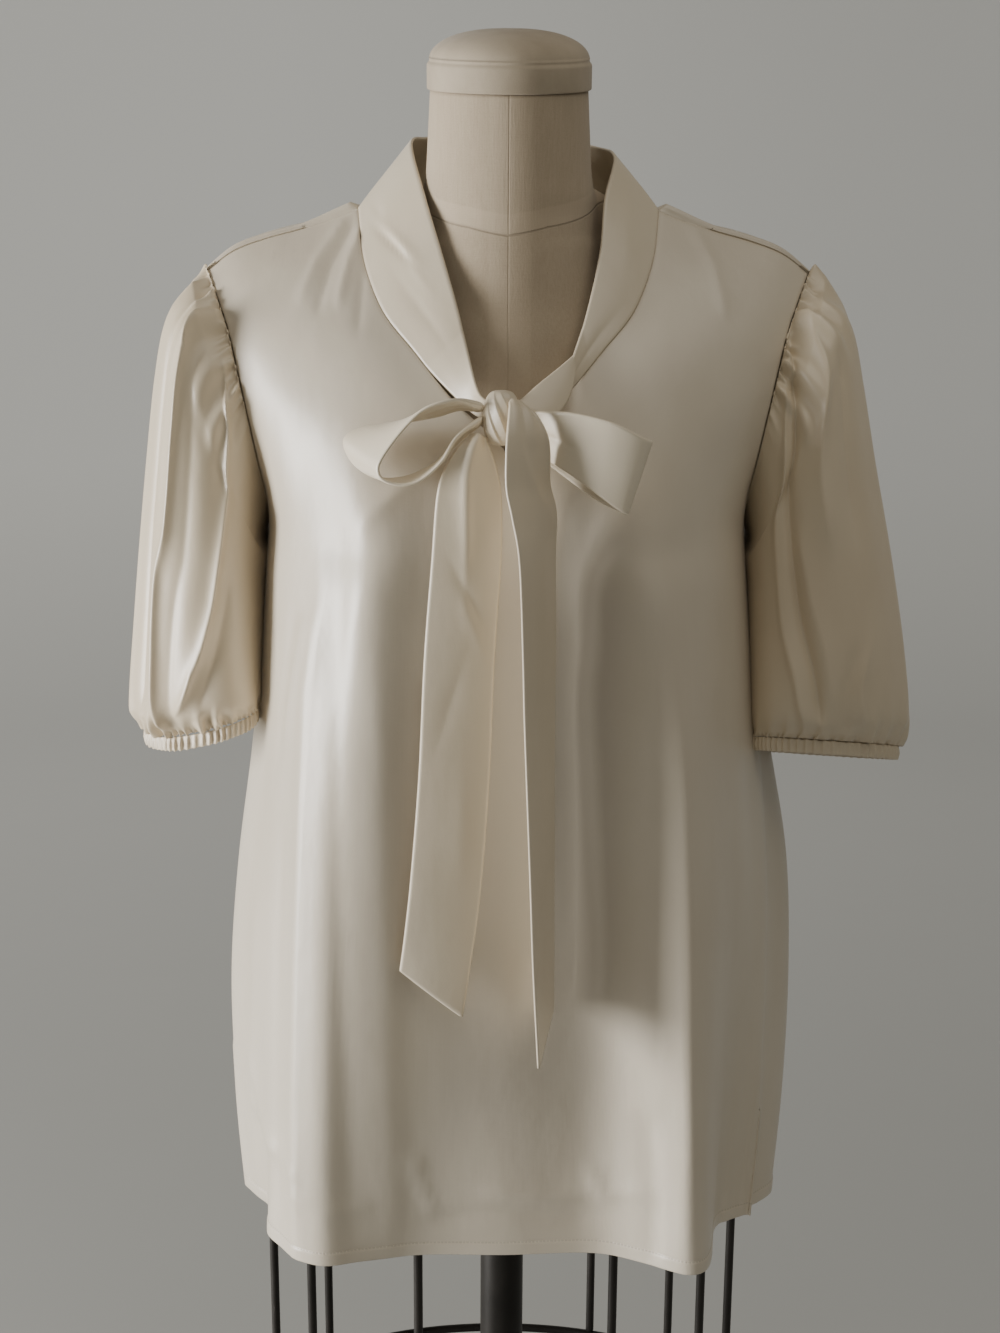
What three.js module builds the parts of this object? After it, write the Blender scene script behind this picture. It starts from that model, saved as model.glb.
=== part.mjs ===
// A cream tie neck blouse with short puff sleeves, worn by a limbless dress form on a round base.
// Millimetres, +Z up, the front faces -Y, and the origin is on the floor under the middle of the pole.
import * as THREE from "three";

// Driving dimensions of the cloth
const CLOTH = 1.2;
const DOUBLE_CLOTH = 2;
const SEAM_GAP = 0.6;
const HEM_Z = 651;
const VENT_HEIGHT = 115;
const VENT_SPREAD = 5;
const COLUMNS = 15;
const SKIRT_ROWS = 8;
const FRONT_YOKE_ROWS = 8;
const BACK_YOKE_ROWS = 9;

// Driving dimensions of the dress form and its stand
const FORM_BOTTOM_Z = 700;
const POLE_RADIUS = 16.5;
const ROD_RADIUS = 3.3;
const ROD_ANGLES = [0, 39, 65, 113, 143, 180, 217, 250, 297, 327];
const CAGE_BOTTOM_Z = 455;
const BASE_RADIUS = 205;
const BASE_THICKNESS = 14;
const BASE_RISE = 4;
const BOSS_HEIGHT = 38;
const SEAT_GAP = 0.3;

// The skirt of the blouse below the underarm. Each row is a level section. The front's ridge is the fold that
// hangs from the bust, and the hollow is where it turns back to the side. Right is +X.
const SKIRT = {
  levels: [651, 730, 820, 910, 1000, 1080, 1130, 1160],
  frontCentreY: [-124, -126, -129, -132, -136, -140, -141, -139],
  frontMidY: [-124, -127, -131, -135, -140, -145, -147, -144],
  backCentreY: [134, 134, 131, 127, 121, 115, 111, 108],
  backMidY: [128, 129, 128, 126, 122, 117, 113, 111],
};
const FRONT_SKIRT = {
  right: [
    { ridgeX: 138, ridgeY: -149, hollowX: 155, hollowY: -84, flankX: 167, flankY: -70, sideX: 183, sideY: -57 },
    { ridgeX: 136, ridgeY: -149, hollowX: 159, hollowY: -87, flankX: 173, flankY: -69, sideX: 189, sideY: -51 },
    { ridgeX: 132, ridgeY: -149, hollowX: 162, hollowY: -90, flankX: 177, flankY: -67, sideX: 192, sideY: -44 },
    { ridgeX: 128, ridgeY: -149, hollowX: 162, hollowY: -94, flankX: 177, flankY: -66, sideX: 191, sideY: -36 },
    { ridgeX: 122, ridgeY: -148, hollowX: 157, hollowY: -96, flankX: 171, flankY: -62, sideX: 184, sideY: -26 },
    { ridgeX: 112, ridgeY: -149, hollowX: 152, hollowY: -97, flankX: 167, flankY: -58, sideX: 176, sideY: -18 },
    { ridgeX: 101, ridgeY: -151, hollowX: 147, hollowY: -99, flankX: 164, flankY: -54, sideX: 172, sideY: -8 },
    { ridgeX: 96, ridgeY: -144, hollowX: 143, hollowY: -98, flankX: 163, flankY: -50, sideX: 170, sideY: 0 },
  ],
  left: [
    { ridgeX: 128, ridgeY: -141, hollowX: 168, hollowY: -100, flankX: 172, flankY: -55, sideX: 196, sideY: -10 },
    { ridgeX: 127, ridgeY: -142, hollowX: 164, hollowY: -101, flankX: 179, flankY: -56, sideX: 202, sideY: -10 },
    { ridgeX: 124, ridgeY: -143, hollowX: 161, hollowY: -102, flankX: 182, flankY: -56, sideX: 204, sideY: -8 },
    { ridgeX: 121, ridgeY: -144, hollowX: 158, hollowY: -102, flankX: 179, flankY: -56, sideX: 197, sideY: -6 },
    { ridgeX: 116, ridgeY: -146, hollowX: 152, hollowY: -102, flankX: 169, flankY: -60, sideX: 184, sideY: -14 },
    { ridgeX: 108, ridgeY: -148, hollowX: 149, hollowY: -100, flankX: 166, flankY: -56, sideX: 177, sideY: -8 },
    { ridgeX: 100, ridgeY: -151, hollowX: 146, hollowY: -99, flankX: 165, flankY: -52, sideX: 173, sideY: 0 },
    { ridgeX: 96, ridgeY: -144, hollowX: 143, hollowY: -98, flankX: 163, flankY: -50, sideX: 170, sideY: 0 },
  ],
};
const BACK_SKIRT = {
  right: [
    { ridgeX: 100, ridgeY: 150, hollowX: 152, hollowY: 104, flankX: 205, flankY: -8 },
    { ridgeX: 100, ridgeY: 148, hollowX: 155, hollowY: 103, flankX: 212, flankY: 2 },
    { ridgeX: 99, ridgeY: 144, hollowX: 157, hollowY: 101, flankX: 215, flankY: 12 },
    { ridgeX: 98, ridgeY: 139, hollowX: 156, hollowY: 98, flankX: 211, flankY: 20 },
    { ridgeX: 97, ridgeY: 132, hollowX: 152, hollowY: 94, flankX: 194, flankY: 18 },
    { ridgeX: 95, ridgeY: 125, hollowX: 147, hollowY: 89, flankX: 179, flankY: 26 },
    { ridgeX: 93, ridgeY: 120, hollowX: 142, hollowY: 86, flankX: 169, flankY: 36 },
    { ridgeX: 92, ridgeY: 116, hollowX: 138, hollowY: 84, flankX: 163, flankY: 46 },
  ],
  left: [
    { ridgeX: 104, ridgeY: 148, hollowX: 156, hollowY: 108, flankX: 194, flankY: 44 },
    { ridgeX: 103, ridgeY: 146, hollowX: 158, hollowY: 106, flankX: 199, flankY: 44 },
    { ridgeX: 102, ridgeY: 142, hollowX: 158, hollowY: 104, flankX: 200, flankY: 44 },
    { ridgeX: 100, ridgeY: 137, hollowX: 155, hollowY: 100, flankX: 192, flankY: 44 },
    { ridgeX: 98, ridgeY: 131, hollowX: 151, hollowY: 95, flankX: 182, flankY: 44 },
    { ridgeX: 96, ridgeY: 125, hollowX: 146, hollowY: 90, flankX: 174, flankY: 44 },
    { ridgeX: 93, ridgeY: 120, hollowX: 142, hollowY: 86, flankX: 168, flankY: 44 },
    { ridgeX: 92, ridgeY: 116, hollowX: 138, hollowY: 84, flankX: 163, flankY: 46 },
  ],
};

// The yoke above the underarm. The inner point runs up the middle and then along the neckline, the outer one
// along the armhole, and the last row is the shoulder seam. The crown lifts a row, most of all near the armhole.
const FRONT_YOKE = [
  {
    inner: [0, -134, 1190], mid: [49, -139], ridge: [98, -137], hollow: [139, -101],
    flank: [158, -70], outer: [169, -28, 1180], crown: 0,
  },
  {
    inner: [0, -127, 1221], mid: [50, -131], ridge: [100, -126], hollow: [139, -100],
    flank: [159, -79], outer: [173, -52, 1212], crown: 0,
  },
  {
    inner: [36, -115, 1256], mid: [72, -117], ridge: [107, -111], hollow: [141, -96],
    flank: [161, -81], outer: [178, -62, 1243], crown: 0,
  },
  {
    inner: [62, -99, 1286], mid: [90, -100], ridge: [117, -95], hollow: [145, -84],
    flank: [166, -73], outer: [184, -59, 1270], crown: 1,
  },
  {
    inner: [84, -78, 1312], mid: [106, -78], ridge: [129, -74], hollow: [152, -67],
    flank: [172, -59], outer: [191, -48, 1296], crown: 2,
  },
  {
    inner: [98, -50, 1345], mid: [119, -49], ridge: [141, -47], hollow: [162, -43],
    flank: [182, -38], outer: [200, -32, 1318], crown: 3,
  },
  {
    inner: [104, -14, 1379], mid: [125, -14], ridge: [146, -14], hollow: [167, -14],
    flank: [190, -14], outer: [209, -14, 1337], crown: 6,
  },
];
const BACK_YOKE = [
  {
    inner: [0, 106, 1190], mid: [46, 109], ridge: [92, 112], hollow: [134, 88],
    flank: [156, 62], outer: [169, 28, 1180], crown: 0,
  },
  {
    inner: [0, 104, 1226], mid: [47, 107], ridge: [94, 106], hollow: [136, 86],
    flank: [158, 69], outer: [173, 50, 1213], crown: 1,
  },
  {
    inner: [0, 101, 1266], mid: [49, 103], ridge: [98, 98], hollow: [139, 82],
    flank: [161, 70], outer: [179, 58, 1246], crown: 4,
  },
  {
    inner: [0, 96, 1306], mid: [51, 97], ridge: [102, 87], hollow: [143, 72],
    flank: [167, 63], outer: [186, 54, 1275], crown: 8,
  },
  {
    inner: [0, 85, 1345], mid: [54, 86], ridge: [108, 69], hollow: [149, 56],
    flank: [174, 48], outer: [194, 42, 1299], crown: 14,
  },
  {
    inner: [0, 71, 1384], mid: [58, 67], ridge: [113, 50], hollow: [154, 40],
    flank: [179, 34], outer: [199, 29, 1314], crown: 16,
  },
  {
    inner: [52, 61, 1389], mid: [87, 47], ridge: [122, 35], hollow: [157, 27],
    flank: [182, 20], outer: [204, 14, 1327], crown: 15,
  },
  {
    inner: [86, 33, 1389], mid: [110, 21], ridge: [134, 14], hollow: [160, 8],
    flank: [184, 4], outer: [207, 0, 1334], crown: 12,
  },
  {
    inner: [104, -14, 1379], mid: [125, -14], ridge: [146, -14], hollow: [167, -14],
    flank: [190, -14], outer: [209, -14, 1337], crown: 6,
  },
];

// Sleeve rings from the armhole to the cuff, worked out from four points: the outer and the inner side, and how far
// the ring reaches to the front and the back. Lean is how much lower the back of the ring hangs than its front, and
// tuck is how far its inner back keeps away from the body.
const SLEEVE_POINTS = 72;
const SLEEVE_RINGS = {
  right: [
    { outX: 224, outY: -14, outZ: 1326, inX: 175, inY: -2, inZ: 1150, front: 66, back: 66, lean: 0, tuck: 0 },
    { outX: 238, outY: -12, outZ: 1300, inX: 178, inY: -4, inZ: 1136, front: 73, back: 72, lean: 4, tuck: 0 },
    { outX: 247, outY: -10, outZ: 1262, inX: 180, inY: -8, inZ: 1120, front: 75, back: 76, lean: 8, tuck: 0 },
    { outX: 258, outY: -8, outZ: 1208, inX: 181, inY: -14, inZ: 1100, front: 74, back: 79, lean: 12, tuck: 2 },
    { outX: 272, outY: -6, outZ: 1144, inX: 182, inY: -20, inZ: 1074, front: 72, back: 80, lean: 16, tuck: 5 },
    { outX: 284, outY: -5, outZ: 1081, inX: 183, inY: -28, inZ: 1049, front: 68, back: 80, lean: 20, tuck: 9 },
    { outX: 292, outY: -4, outZ: 1027, inX: 184, inY: -36, inZ: 1025, front: 60, back: 74, lean: 24, tuck: 14 },
    { outX: 292, outY: -4, outZ: 1006, inX: 185, inY: -40, inZ: 1014, front: 50, back: 64, lean: 25, tuck: 18 },
    { outX: 288, outY: -4, outZ: 996, inX: 186, inY: -42, inZ: 1009, front: 42, back: 54, lean: 25, tuck: 20 },
  ],
  left: [
    { outX: 223, outY: -14, outZ: 1326, inX: 175, inY: -2, inZ: 1150, front: 66, back: 66, lean: 0, tuck: 0 },
    { outX: 236, outY: -12, outZ: 1300, inX: 178, inY: -4, inZ: 1136, front: 73, back: 72, lean: 2, tuck: 0 },
    { outX: 244, outY: -10, outZ: 1262, inX: 180, inY: -8, inZ: 1120, front: 75, back: 76, lean: 4, tuck: 0 },
    { outX: 251, outY: -8, outZ: 1208, inX: 181, inY: -14, inZ: 1102, front: 74, back: 79, lean: 4, tuck: 2 },
    { outX: 258, outY: -6, outZ: 1146, inX: 182, inY: -20, inZ: 1080, front: 72, back: 80, lean: 2, tuck: 5 },
    { outX: 264, outY: -5, outZ: 1087, inX: 183, inY: -28, inZ: 1059, front: 68, back: 80, lean: -4, tuck: 9 },
    { outX: 269, outY: -4, outZ: 1039, inX: 183, inY: -36, inZ: 1045, front: 60, back: 74, lean: -12, tuck: 14 },
    { outX: 268, outY: -4, outZ: 1022, inX: 184, inY: -40, inZ: 1040, front: 50, back: 64, lean: -16, tuck: 18 },
    { outX: 263, outY: -4, outZ: 1012, inX: 185, inY: -42, inZ: 1035, front: 42, back: 54, lean: -18, tuck: 20 },
  ],
};
const LAST_RING = SLEEVE_RINGS.right.length - 1;
const CUFF_HEIGHT = 10;
const CUFF_GATHERS = 56;
const CUFF_GATHER_DEPTH = 1.7;
const HEAD_GATHER_DEPTH = 3.4;
const HEM_GATHER_DEPTH = 2.4;
// Long soft folds down the sleeve: where round the ring, in degrees from the outer side towards the front.
const SLEEVE_FOLDS = [
  { at: 24, width: 12, depth: 5 },
  { at: 46, width: 10, depth: -5 },
  { at: 66, width: 12, depth: 6 },
  { at: 108, width: 16, depth: 5 },
  { at: -30, width: 15, depth: 6 },
  { at: -78, width: 17, depth: 7 },
];

// The collar's fold line, from the middle of the back round to the front. Its seam line is the neckline.
const COLLAR_FOLD = {
  right: [
    [0, 76, 1428],
    [40, 67, 1427],
    [64, 38, 1423],
    [74, 0, 1415],
    [66, -40, 1386],
    [62, -66, 1350],
    [53, -90, 1312],
    [42, -110, 1277],
  ],
  left: [
    [0, 76, 1428],
    [38, 67, 1430],
    [60, 38, 1429],
    [68, 0, 1423],
    [57, -52, 1386],
    [44, -80, 1346],
    [33, -100, 1310],
    [25, -114, 1276],
  ],
};
// Where each end of the collar goes from the V to the knot: its seam and its fold.
const COLLAR_END = {
  right: [
    [[22, -127, 1248], [24, -132, 1262]],
    [[6.8, -143, 1246], [7.2, -144, 1256]],
  ],
  left: [
    [[-24, -126, 1249], [-21, -128, 1264]],
    [[-14.5, -143, 1247], [-14.4, -144, 1256]],
  ],
};
const COLLAR_STEP = 16;
const COLLAR_END_STEPS = 4;

// The knot and the ribbons of the bow. A ribbon's rows give the middle of its width and half its width as a vector.
const KNOT = { x: -4, y: -151, z: 1247, halfWidth: 12.2, halfDepth: 12, halfHeight: 17.5 };
const LEFT_LOOP = [
  { at: [-16.2, -154, 1255], half: [0, 5, -2] },
  { at: [-31, -155, 1257], half: [0, 12, -4] },
  { at: [-46, -154, 1253], half: [0, 16, -5] },
  { at: [-63, -152, 1247.5], half: [-5.6, 18.5, -4] },
  { at: [-83, -152.5, 1237.5], half: [-11.4, 18.5, 2] },
  { at: [-94, -153.5, 1225], half: [-12.2, 17.5, 6] },
  { at: [-90, -155.5, 1212.7], half: [-10.2, 15.5, 3.5] },
  { at: [-76, -156.5, 1205.8], half: [-7.9, 14, 0.5] },
  { at: [-60, -156.5, 1207.5], half: [-5, 13.5, -0.5] },
  { at: [-43.5, -156, 1218], half: [-2.6, 12, -2] },
  { at: [-31, -155, 1233], half: [0, 9, -3] },
  { at: [-16.4, -154, 1245], half: [0, 4.5, -2] },
];
const RIGHT_LOOP = [
  { at: [10.3, -151, 1239], half: [2, 0, -12] },
  { at: [24, -158, 1236], half: [2, 1, -15] },
  { at: [42, -164, 1231], half: [1, 2, -20] },
  { at: [62, -166, 1223], half: [-3, 2, -23] },
  { at: [78, -164, 1214], half: [-6, 1, -23] },
  { at: [84.5, -158, 1211], half: [-7, 0, -22.5] },
  { at: [80, -151, 1212], half: [-7, -1, -22.5] },
  { at: [64, -147, 1218], half: [-4, -1, -23] },
  { at: [46, -146, 1225], half: [0, -1, -21] },
  { at: [28, -146, 1231], half: [1, -1, -15] },
  { at: [10.5, -146, 1236], half: [1, 0, -9] },
];
const LEFT_TAIL = [
  { at: [-18.4, -155, 1236], half: [4, 1, -1] },
  { at: [-21, -158, 1227.5], half: [10, 2, -1.5] },
  { at: [-23.5, -158, 1213.5], half: [16.4, 2.5, -0.5] },
  { at: [-24.5, -157, 1196], half: [20, 3, 0] },
  { at: [-26, -156, 1157], half: [21.5, 3, 0] },
  { at: [-30.5, -156, 1092], half: [22, 3, 0] },
  { at: [-34, -152, 1011], half: [22.5, 3, 0] },
  { at: [-39, -148, 942], half: [23, 3, 0] },
  { at: [-43.5, -145, 900], half: [23, 3, 0] },
  { at: [-49.5, -142, 855.5], half: [20.5, 3, -17.5] },
];
const RIGHT_TAIL = [
  { at: [5, -158, 1257.5], half: [3, 1, -1] },
  { at: [9.5, -166.5, 1252], half: [8, 3, -2.5] },
  { at: [12, -172, 1240], half: [12, 7, -2] },
  { at: [12.4, -173, 1227], half: [13.5, 11, -1] },
  { at: [12.6, -173, 1206], half: [13.6, 14, 0] },
  { at: [16.5, -172, 1187], half: [13.7, 17, 0] },
  { at: [18.7, -171, 1159], half: [11.3, 20, 0] },
  { at: [20.5, -170, 1100], half: [10.5, 20.5, 0] },
  { at: [21.3, -170, 1051], half: [9.7, 20.8, 0] },
  { at: [23.9, -168, 947], half: [7.9, 21.5, 0] },
  { at: [25.5, -165, 885], half: [7, 21.5, 0] },
  { at: [27.7, -162, 827], half: [5.2, 21, 13] },
];

// Level sections of the dress form. Half, front and back give the body's oval, and the neck's oval stands up from
// the chest. Lift is how much higher the back of the section is than its front.
const FORM_SIDES = 32;
const FORM_SECTIONS = [
  { z: 700, half: 186, front: 114, back: 124, neck: 40, neckFront: 40, neckBack: 40, lift: 0 },
  { z: 760, half: 183, front: 113, back: 124, neck: 40, neckFront: 40, neckBack: 40, lift: 0 },
  { z: 840, half: 164, front: 103, back: 112, neck: 40, neckFront: 40, neckBack: 40, lift: 0 },
  { z: 940, half: 122, front: 86, back: 84, neck: 40, neckFront: 40, neckBack: 40, lift: 0 },
  { z: 1020, half: 132, front: 98, back: 88, neck: 40, neckFront: 40, neckBack: 40, lift: 0 },
  { z: 1080, half: 144, front: 120, back: 92, neck: 40, neckFront: 40, neckBack: 40, lift: 0 },
  { z: 1130, half: 150, front: 132, back: 95, neck: 50, neckFront: 50, neckBack: 50, lift: 0 },
  { z: 1190, half: 154, front: 121, back: 95, neck: 60, neckFront: 98.8, neckBack: 56.2, lift: 0 },
  { z: 1240, half: 162, front: 98, back: 92, neck: 78, neckFront: 109.6, neckBack: 62.4, lift: 0 },
  { z: 1285, half: 174, front: 76, back: 84, neck: 80, neckFront: 100.8, neckBack: 66.2, lift: 0 },
  { z: 1315, half: 183, front: 58, back: 74, neck: 74, neckFront: 92, neckBack: 68, lift: 0 },
  { z: 1337, half: 186, front: 42, back: 58, neck: 69, neckFront: 88, neckBack: 64, lift: 0 },
  { z: 1353, half: 176, front: 33, back: 52, neck: 66, neckFront: 85, neckBack: 60, lift: 0 },
  { z: 1362, half: 158, front: 28, back: 46, neck: 63, neckFront: 83, neckBack: 55, lift: 0 },
  { z: 1371.5, half: 125, front: 26, back: 42, neck: 61, neckFront: 82, neckBack: 50, lift: 0 },
  { z: 1380, half: 98, front: 26, back: 38, neck: 59.5, neckFront: 82, neckBack: 44, lift: 2 },
  { z: 1391, half: 62, front: 28, back: 30, neck: 58.4, neckFront: 82.4, neckBack: 38, lift: 4 },
  { z: 1404, half: 40, front: 28, back: 20, neck: 56.4, neckFront: 82.7, neckBack: 32.4, lift: 7 },
  { z: 1430, half: 40, front: 28, back: 12, neck: 54.8, neckFront: 84.4, neckBack: 26.4, lift: 11 },
  { z: 1457, half: 40, front: 28, back: 8, neck: 53.3, neckFront: 85.7, neckBack: 21.7, lift: 15 },
];
const CAP = { radius: 55.5, skirt: 19, dome: 20 };

const linen = new THREE.MeshStandardMaterial({ color: 0xb9ad9a, roughness: 0.95, metalness: 0 });
const cream = new THREE.MeshStandardMaterial({ color: 0xe6dccb, roughness: 0.55, metalness: 0 });
const capCloth = new THREE.MeshStandardMaterial({ color: 0xd8cdb6, roughness: 0.8, metalness: 0 });
const blackMetal = new THREE.MeshStandardMaterial({ color: 0x15130f, roughness: 0.45, metalness: 0.6 });

const vector = (p) => new THREE.Vector3(p[0], p[1], p[2]);
const mix = (a, b, share) => a + (b - a) * share;
const clamp = (x) => Math.min(1, Math.max(0, x));
const smoothstep = (x) => clamp(x) ** 2 * (3 - 2 * clamp(x));
const radians = THREE.MathUtils.degToRad;

// The smooth curve through four neighbouring values, at a share of the way from the second to the third.
function catmull(p0, p1, p2, p3, share) {
  const slope1 = (p2 - p0) / 2;
  const slope2 = (p3 - p1) / 2;
  const s2 = share * share;
  const s3 = s2 * share;
  return (2 * s3 - 3 * s2 + 1) * p1 + (s3 - 2 * s2 + share) * slope1 + (3 * s2 - 2 * s3) * p2 + (s3 - s2) * slope2;
}

// A smooth curve through points, at a position counted in points. Before and after are the points beyond its ends.
function along(points, position, before, after) {
  const last = points.length - 1;
  const i = Math.min(last - 1, Math.floor(position));
  const line = (a, b) => a.map((value, axis) => 2 * value - b[axis]);
  const p0 = i > 0 ? points[i - 1] : before || line(points[0], points[1]);
  const p3 = i < last - 1 ? points[i + 2] : after || line(points[last], points[last - 1]);
  return points[i].map((value, axis) => catmull(p0[axis], value, points[i + 1][axis], p3[axis], position - i));
}

// The six named points of a section, from the middle of the panel to its side, for a skirt row.
function skirtSection(panel, side, row) {
  const name = side > 0 ? "right" : "left";
  const seam = FRONT_SKIRT[name][row];
  const shape = panel === "front" ? seam : BACK_SKIRT[name][row];
  const z = SKIRT.levels[row];
  return [
    [0, SKIRT[panel + "CentreY"][row], z],
    [side * shape.ridgeX * 0.52, SKIRT[panel + "MidY"][row], z],
    [side * shape.ridgeX, shape.ridgeY, z],
    [side * shape.hollowX, shape.hollowY, z],
    [side * shape.flankX, shape.flankY, z],
    [side * seam.sideX, seam.sideY, z],
  ];
}

// The same six points for a yoke row, whose height runs from its inner to its outer end.
function yokeSection(panel, side, row) {
  const shape = (panel === "front" ? FRONT_YOKE : BACK_YOKE)[row];
  const { inner, outer } = shape;
  const width = outer[0] - inner[0];
  const raised = (p) => {
    const share = (p[0] - inner[0]) / width;
    const swell = 9.5 * share ** 3 * (1 - share);
    return [side * p[0], p[1], mix(inner[2], outer[2], share) + shape.crown * swell];
  };
  const between = [shape.mid, shape.ridge, shape.hollow, shape.flank].map(raised);
  return [[side * inner[0], inner[1], inner[2]], ...between, [side * outer[0], outer[1], outer[2]]];
}

// All section rows of a half panel from the hem to the shoulder seam.
function panelSections(panel, side) {
  const skirt = SKIRT.levels.map((_, row) => skirtSection(panel, side, row));
  const yoke = (panel === "front" ? FRONT_YOKE : BACK_YOKE).map((_, row) => yokeSection(panel, side, row));
  return [...skirt, ...yoke];
}

// A half panel's surface: position v counted in section rows, and t from the middle to the side.
function panelPoint(sections, v, t) {
  const columns = sections[0].length;
  const section = [];
  for (let c = 0; c < columns; c++) section.push(along(sections.map((row) => row[c]), v));
  const slit = sections.filter((row) => row[0][0] === 0).length - 1;
  if (v <= slit) section[0][0] = 0;
  const [centre, mid] = section;
  const hollow = section[columns - 2];
  const side = section[columns - 1];
  const onSkirt = smoothstep(SKIRT.levels.length + 0.5 - v);
  const onMiddle = Math.abs(centre[0]) < 0.01;
  const before = onMiddle ? [-mid[0], mid[1], mid[2]] : undefined;
  const straight = side.map((value, axis) => 2 * value - hollow[axis]);
  const turned = [hollow[0], 2 * side[1] - hollow[1], hollow[2]];
  const after = straight.map((value, axis) => mix(value, turned[axis], onSkirt));
  const point = along(section, t * (columns - 1), before, after);
  if (onMiddle && t === 0) point[0] = 0;
  return vector(point);
}

// How far the side vent stands open at a height.
const ventAt = (z) => VENT_SPREAD * smoothstep((HEM_Z + VENT_HEIGHT - z) / VENT_HEIGHT);

// The rows at which a panel is sampled: evenly up the skirt, then up the yoke.
function panelRows(panel) {
  const skirtEnd = SKIRT.levels.length - 1;
  const yokeEnd = skirtEnd + (panel === "front" ? FRONT_YOKE : BACK_YOKE).length;
  const yokeRows = panel === "front" ? FRONT_YOKE_ROWS : BACK_YOKE_ROWS;
  const rows = [];
  for (let j = 0; j <= SKIRT_ROWS; j++) rows.push((skirtEnd * j) / SKIRT_ROWS);
  const slit = skirtEnd + (panel === "front" ? 2 : 6);
  const below = panel === "front" ? 2 : 5;
  for (let j = 1; j <= below; j++) rows.push(mix(skirtEnd, slit, j / below));
  for (let j = 1; j <= yokeRows - below; j++) rows.push(mix(slit, yokeEnd, j / (yokeRows - below)));
  return rows;
}

// A grid of points of a half panel, rows up and columns from the middle to the side.
function panelGrid(panel, side) {
  const sections = panelSections(panel, side);
  return panelRows(panel).map((v) => {
    const row = [];
    for (let i = 0; i <= COLUMNS; i++) row.push(panelPoint(sections, v, i / COLUMNS));
    return row;
  });
}

// A surface as points and four-sided faces, whose points are shared where they coincide.
class Surface {
  constructor() {
    this.points = [];
    this.faces = [];
    this.index = new Map();
  }
  vertex(p) {
    const key = [p.x, p.y, p.z].map((x) => Math.round(x * 1000)).join();
    if (!this.index.has(key)) {
      this.index.set(key, this.points.length);
      this.points.push(p.clone());
    }
    return this.index.get(key);
  }
  // Adds a grid of points. Turned faces the other way, and closed joins its last column to its first.
  addGrid(grid, turned = false, closed = false) {
    const columns = grid[0].length;
    for (let j = 0; j + 1 < grid.length; j++)
      for (let i = 0; i < columns - (closed ? 0 : 1); i++) {
        const next = (i + 1) % columns;
        const corners = [grid[j][i], grid[j][next], grid[j + 1][next], grid[j + 1][i]];
        const face = corners.map((p) => this.vertex(p)).filter((n, k, all) => all.indexOf(n) === k);
        if (face.length > 2) this.faces.push(turned ? face.reverse() : face);
      }
    return this;
  }
  normals() {
    const sums = this.points.map(() => new THREE.Vector3());
    for (const face of this.faces)
      for (let k = 1; k + 1 < face.length; k++) {
        const [a, b, c] = [face[0], face[k], face[k + 1]].map((n) => this.points[n]);
        const normal = b.clone().sub(a).cross(c.clone().sub(a));
        [face[0], face[k], face[k + 1]].forEach((n) => sums[n].add(normal));
      }
    return sums.map((sum) => sum.normalize());
  }
  // Edges that belong to one face only, in that face's direction.
  rim() {
    const once = new Map();
    for (const face of this.faces)
      face.forEach((a, k) => {
        const b = face[(k + 1) % face.length];
        if (once.has(b + "," + a)) once.delete(b + "," + a);
        else once.set(a + "," + b, [a, b]);
      });
    return [...once.values()];
  }
}

// A closed wall: the surface outside, a copy moved in along the normals, and a strip along every rim.
function wall(surface, thickness, normals = surface.normals()) {
  const outside = surface.points;
  const inside = outside.map((p, n) => p.clone().addScaledVector(normals[n], -thickness));
  const count = outside.length;
  const triangles = [];
  for (const face of surface.faces)
    for (let k = 1; k + 1 < face.length; k++) {
      triangles.push(face[0], face[k], face[k + 1]);
      triangles.push(count + face[0], count + face[k + 1], count + face[k]);
    }
  for (const [a, b] of surface.rim()) triangles.push(b, a, count + a, b, count + a, count + b);
  return geometry([...outside, ...inside], triangles);
}

function geometry(points, triangles) {
  const made = new THREE.BufferGeometry();
  made.setAttribute("position", new THREE.Float32BufferAttribute(points.flatMap((p) => p.toArray()), 3));
  made.setIndex(triangles);
  return made;
}

// A closed solid through rings of equal size. Looped joins the last ring to the first, and otherwise both ends
// are closed with a fan about their middle.
function loft(rings, looped = false) {
  const surface = new Surface();
  surface.addGrid(looped ? [...rings, rings[0]] : rings, false, true);
  if (!looped)
    [rings[0], rings[rings.length - 1]].forEach((ring, end) => {
      const middle = ring.reduce((sum, p) => sum.add(p), new THREE.Vector3()).divideScalar(ring.length);
      const hub = surface.vertex(middle);
      ring.forEach((p, i) => {
        const [a, b] = [surface.vertex(p), surface.vertex(ring[(i + 1) % ring.length])];
        surface.faces.push(end ? [a, b, hub] : [b, a, hub]);
      });
    });
  const triangles = surface.faces.flatMap((face) =>
    face.slice(2).flatMap((_, k) => [face[0], face[k + 1], face[k + 2]]),
  );
  return geometry(surface.points, triangles);
}

// Moves the points of one border of a grid into the piece, square to the border, by half the seam's gap.
// A border is a list of [i, j, inner i, inner j].
function drawIn(grid, border) {
  const at = (i, j) => grid[j][i].clone();
  const moved = border.map(([i, j, ni, nj], k) => {
    const before = border[Math.max(0, k - 1)];
    const after = border[Math.min(border.length - 1, k + 1)];
    const run = at(after[0], after[1]).sub(at(before[0], before[1])).normalize();
    const inward = at(ni, nj).sub(at(i, j));
    inward.addScaledVector(run, -inward.dot(run)).normalize();
    return at(i, j).addScaledVector(inward, SEAM_GAP / 2);
  });
  border.forEach(([i, j], k) => grid[j][i].copy(moved[k]));
}

const SIDES = { left: -1, right: 1 };
const grids = {};
const bodySurface = new Surface();
for (const panel of ["front", "back"])
  for (const side of [-1, 1]) {
    grids[panel + side] = panelGrid(panel, side);
    bodySurface.addGrid(grids[panel + side], (panel === "front") === side < 0);
  }
const bodyNormals = bodySurface.normals();

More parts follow.
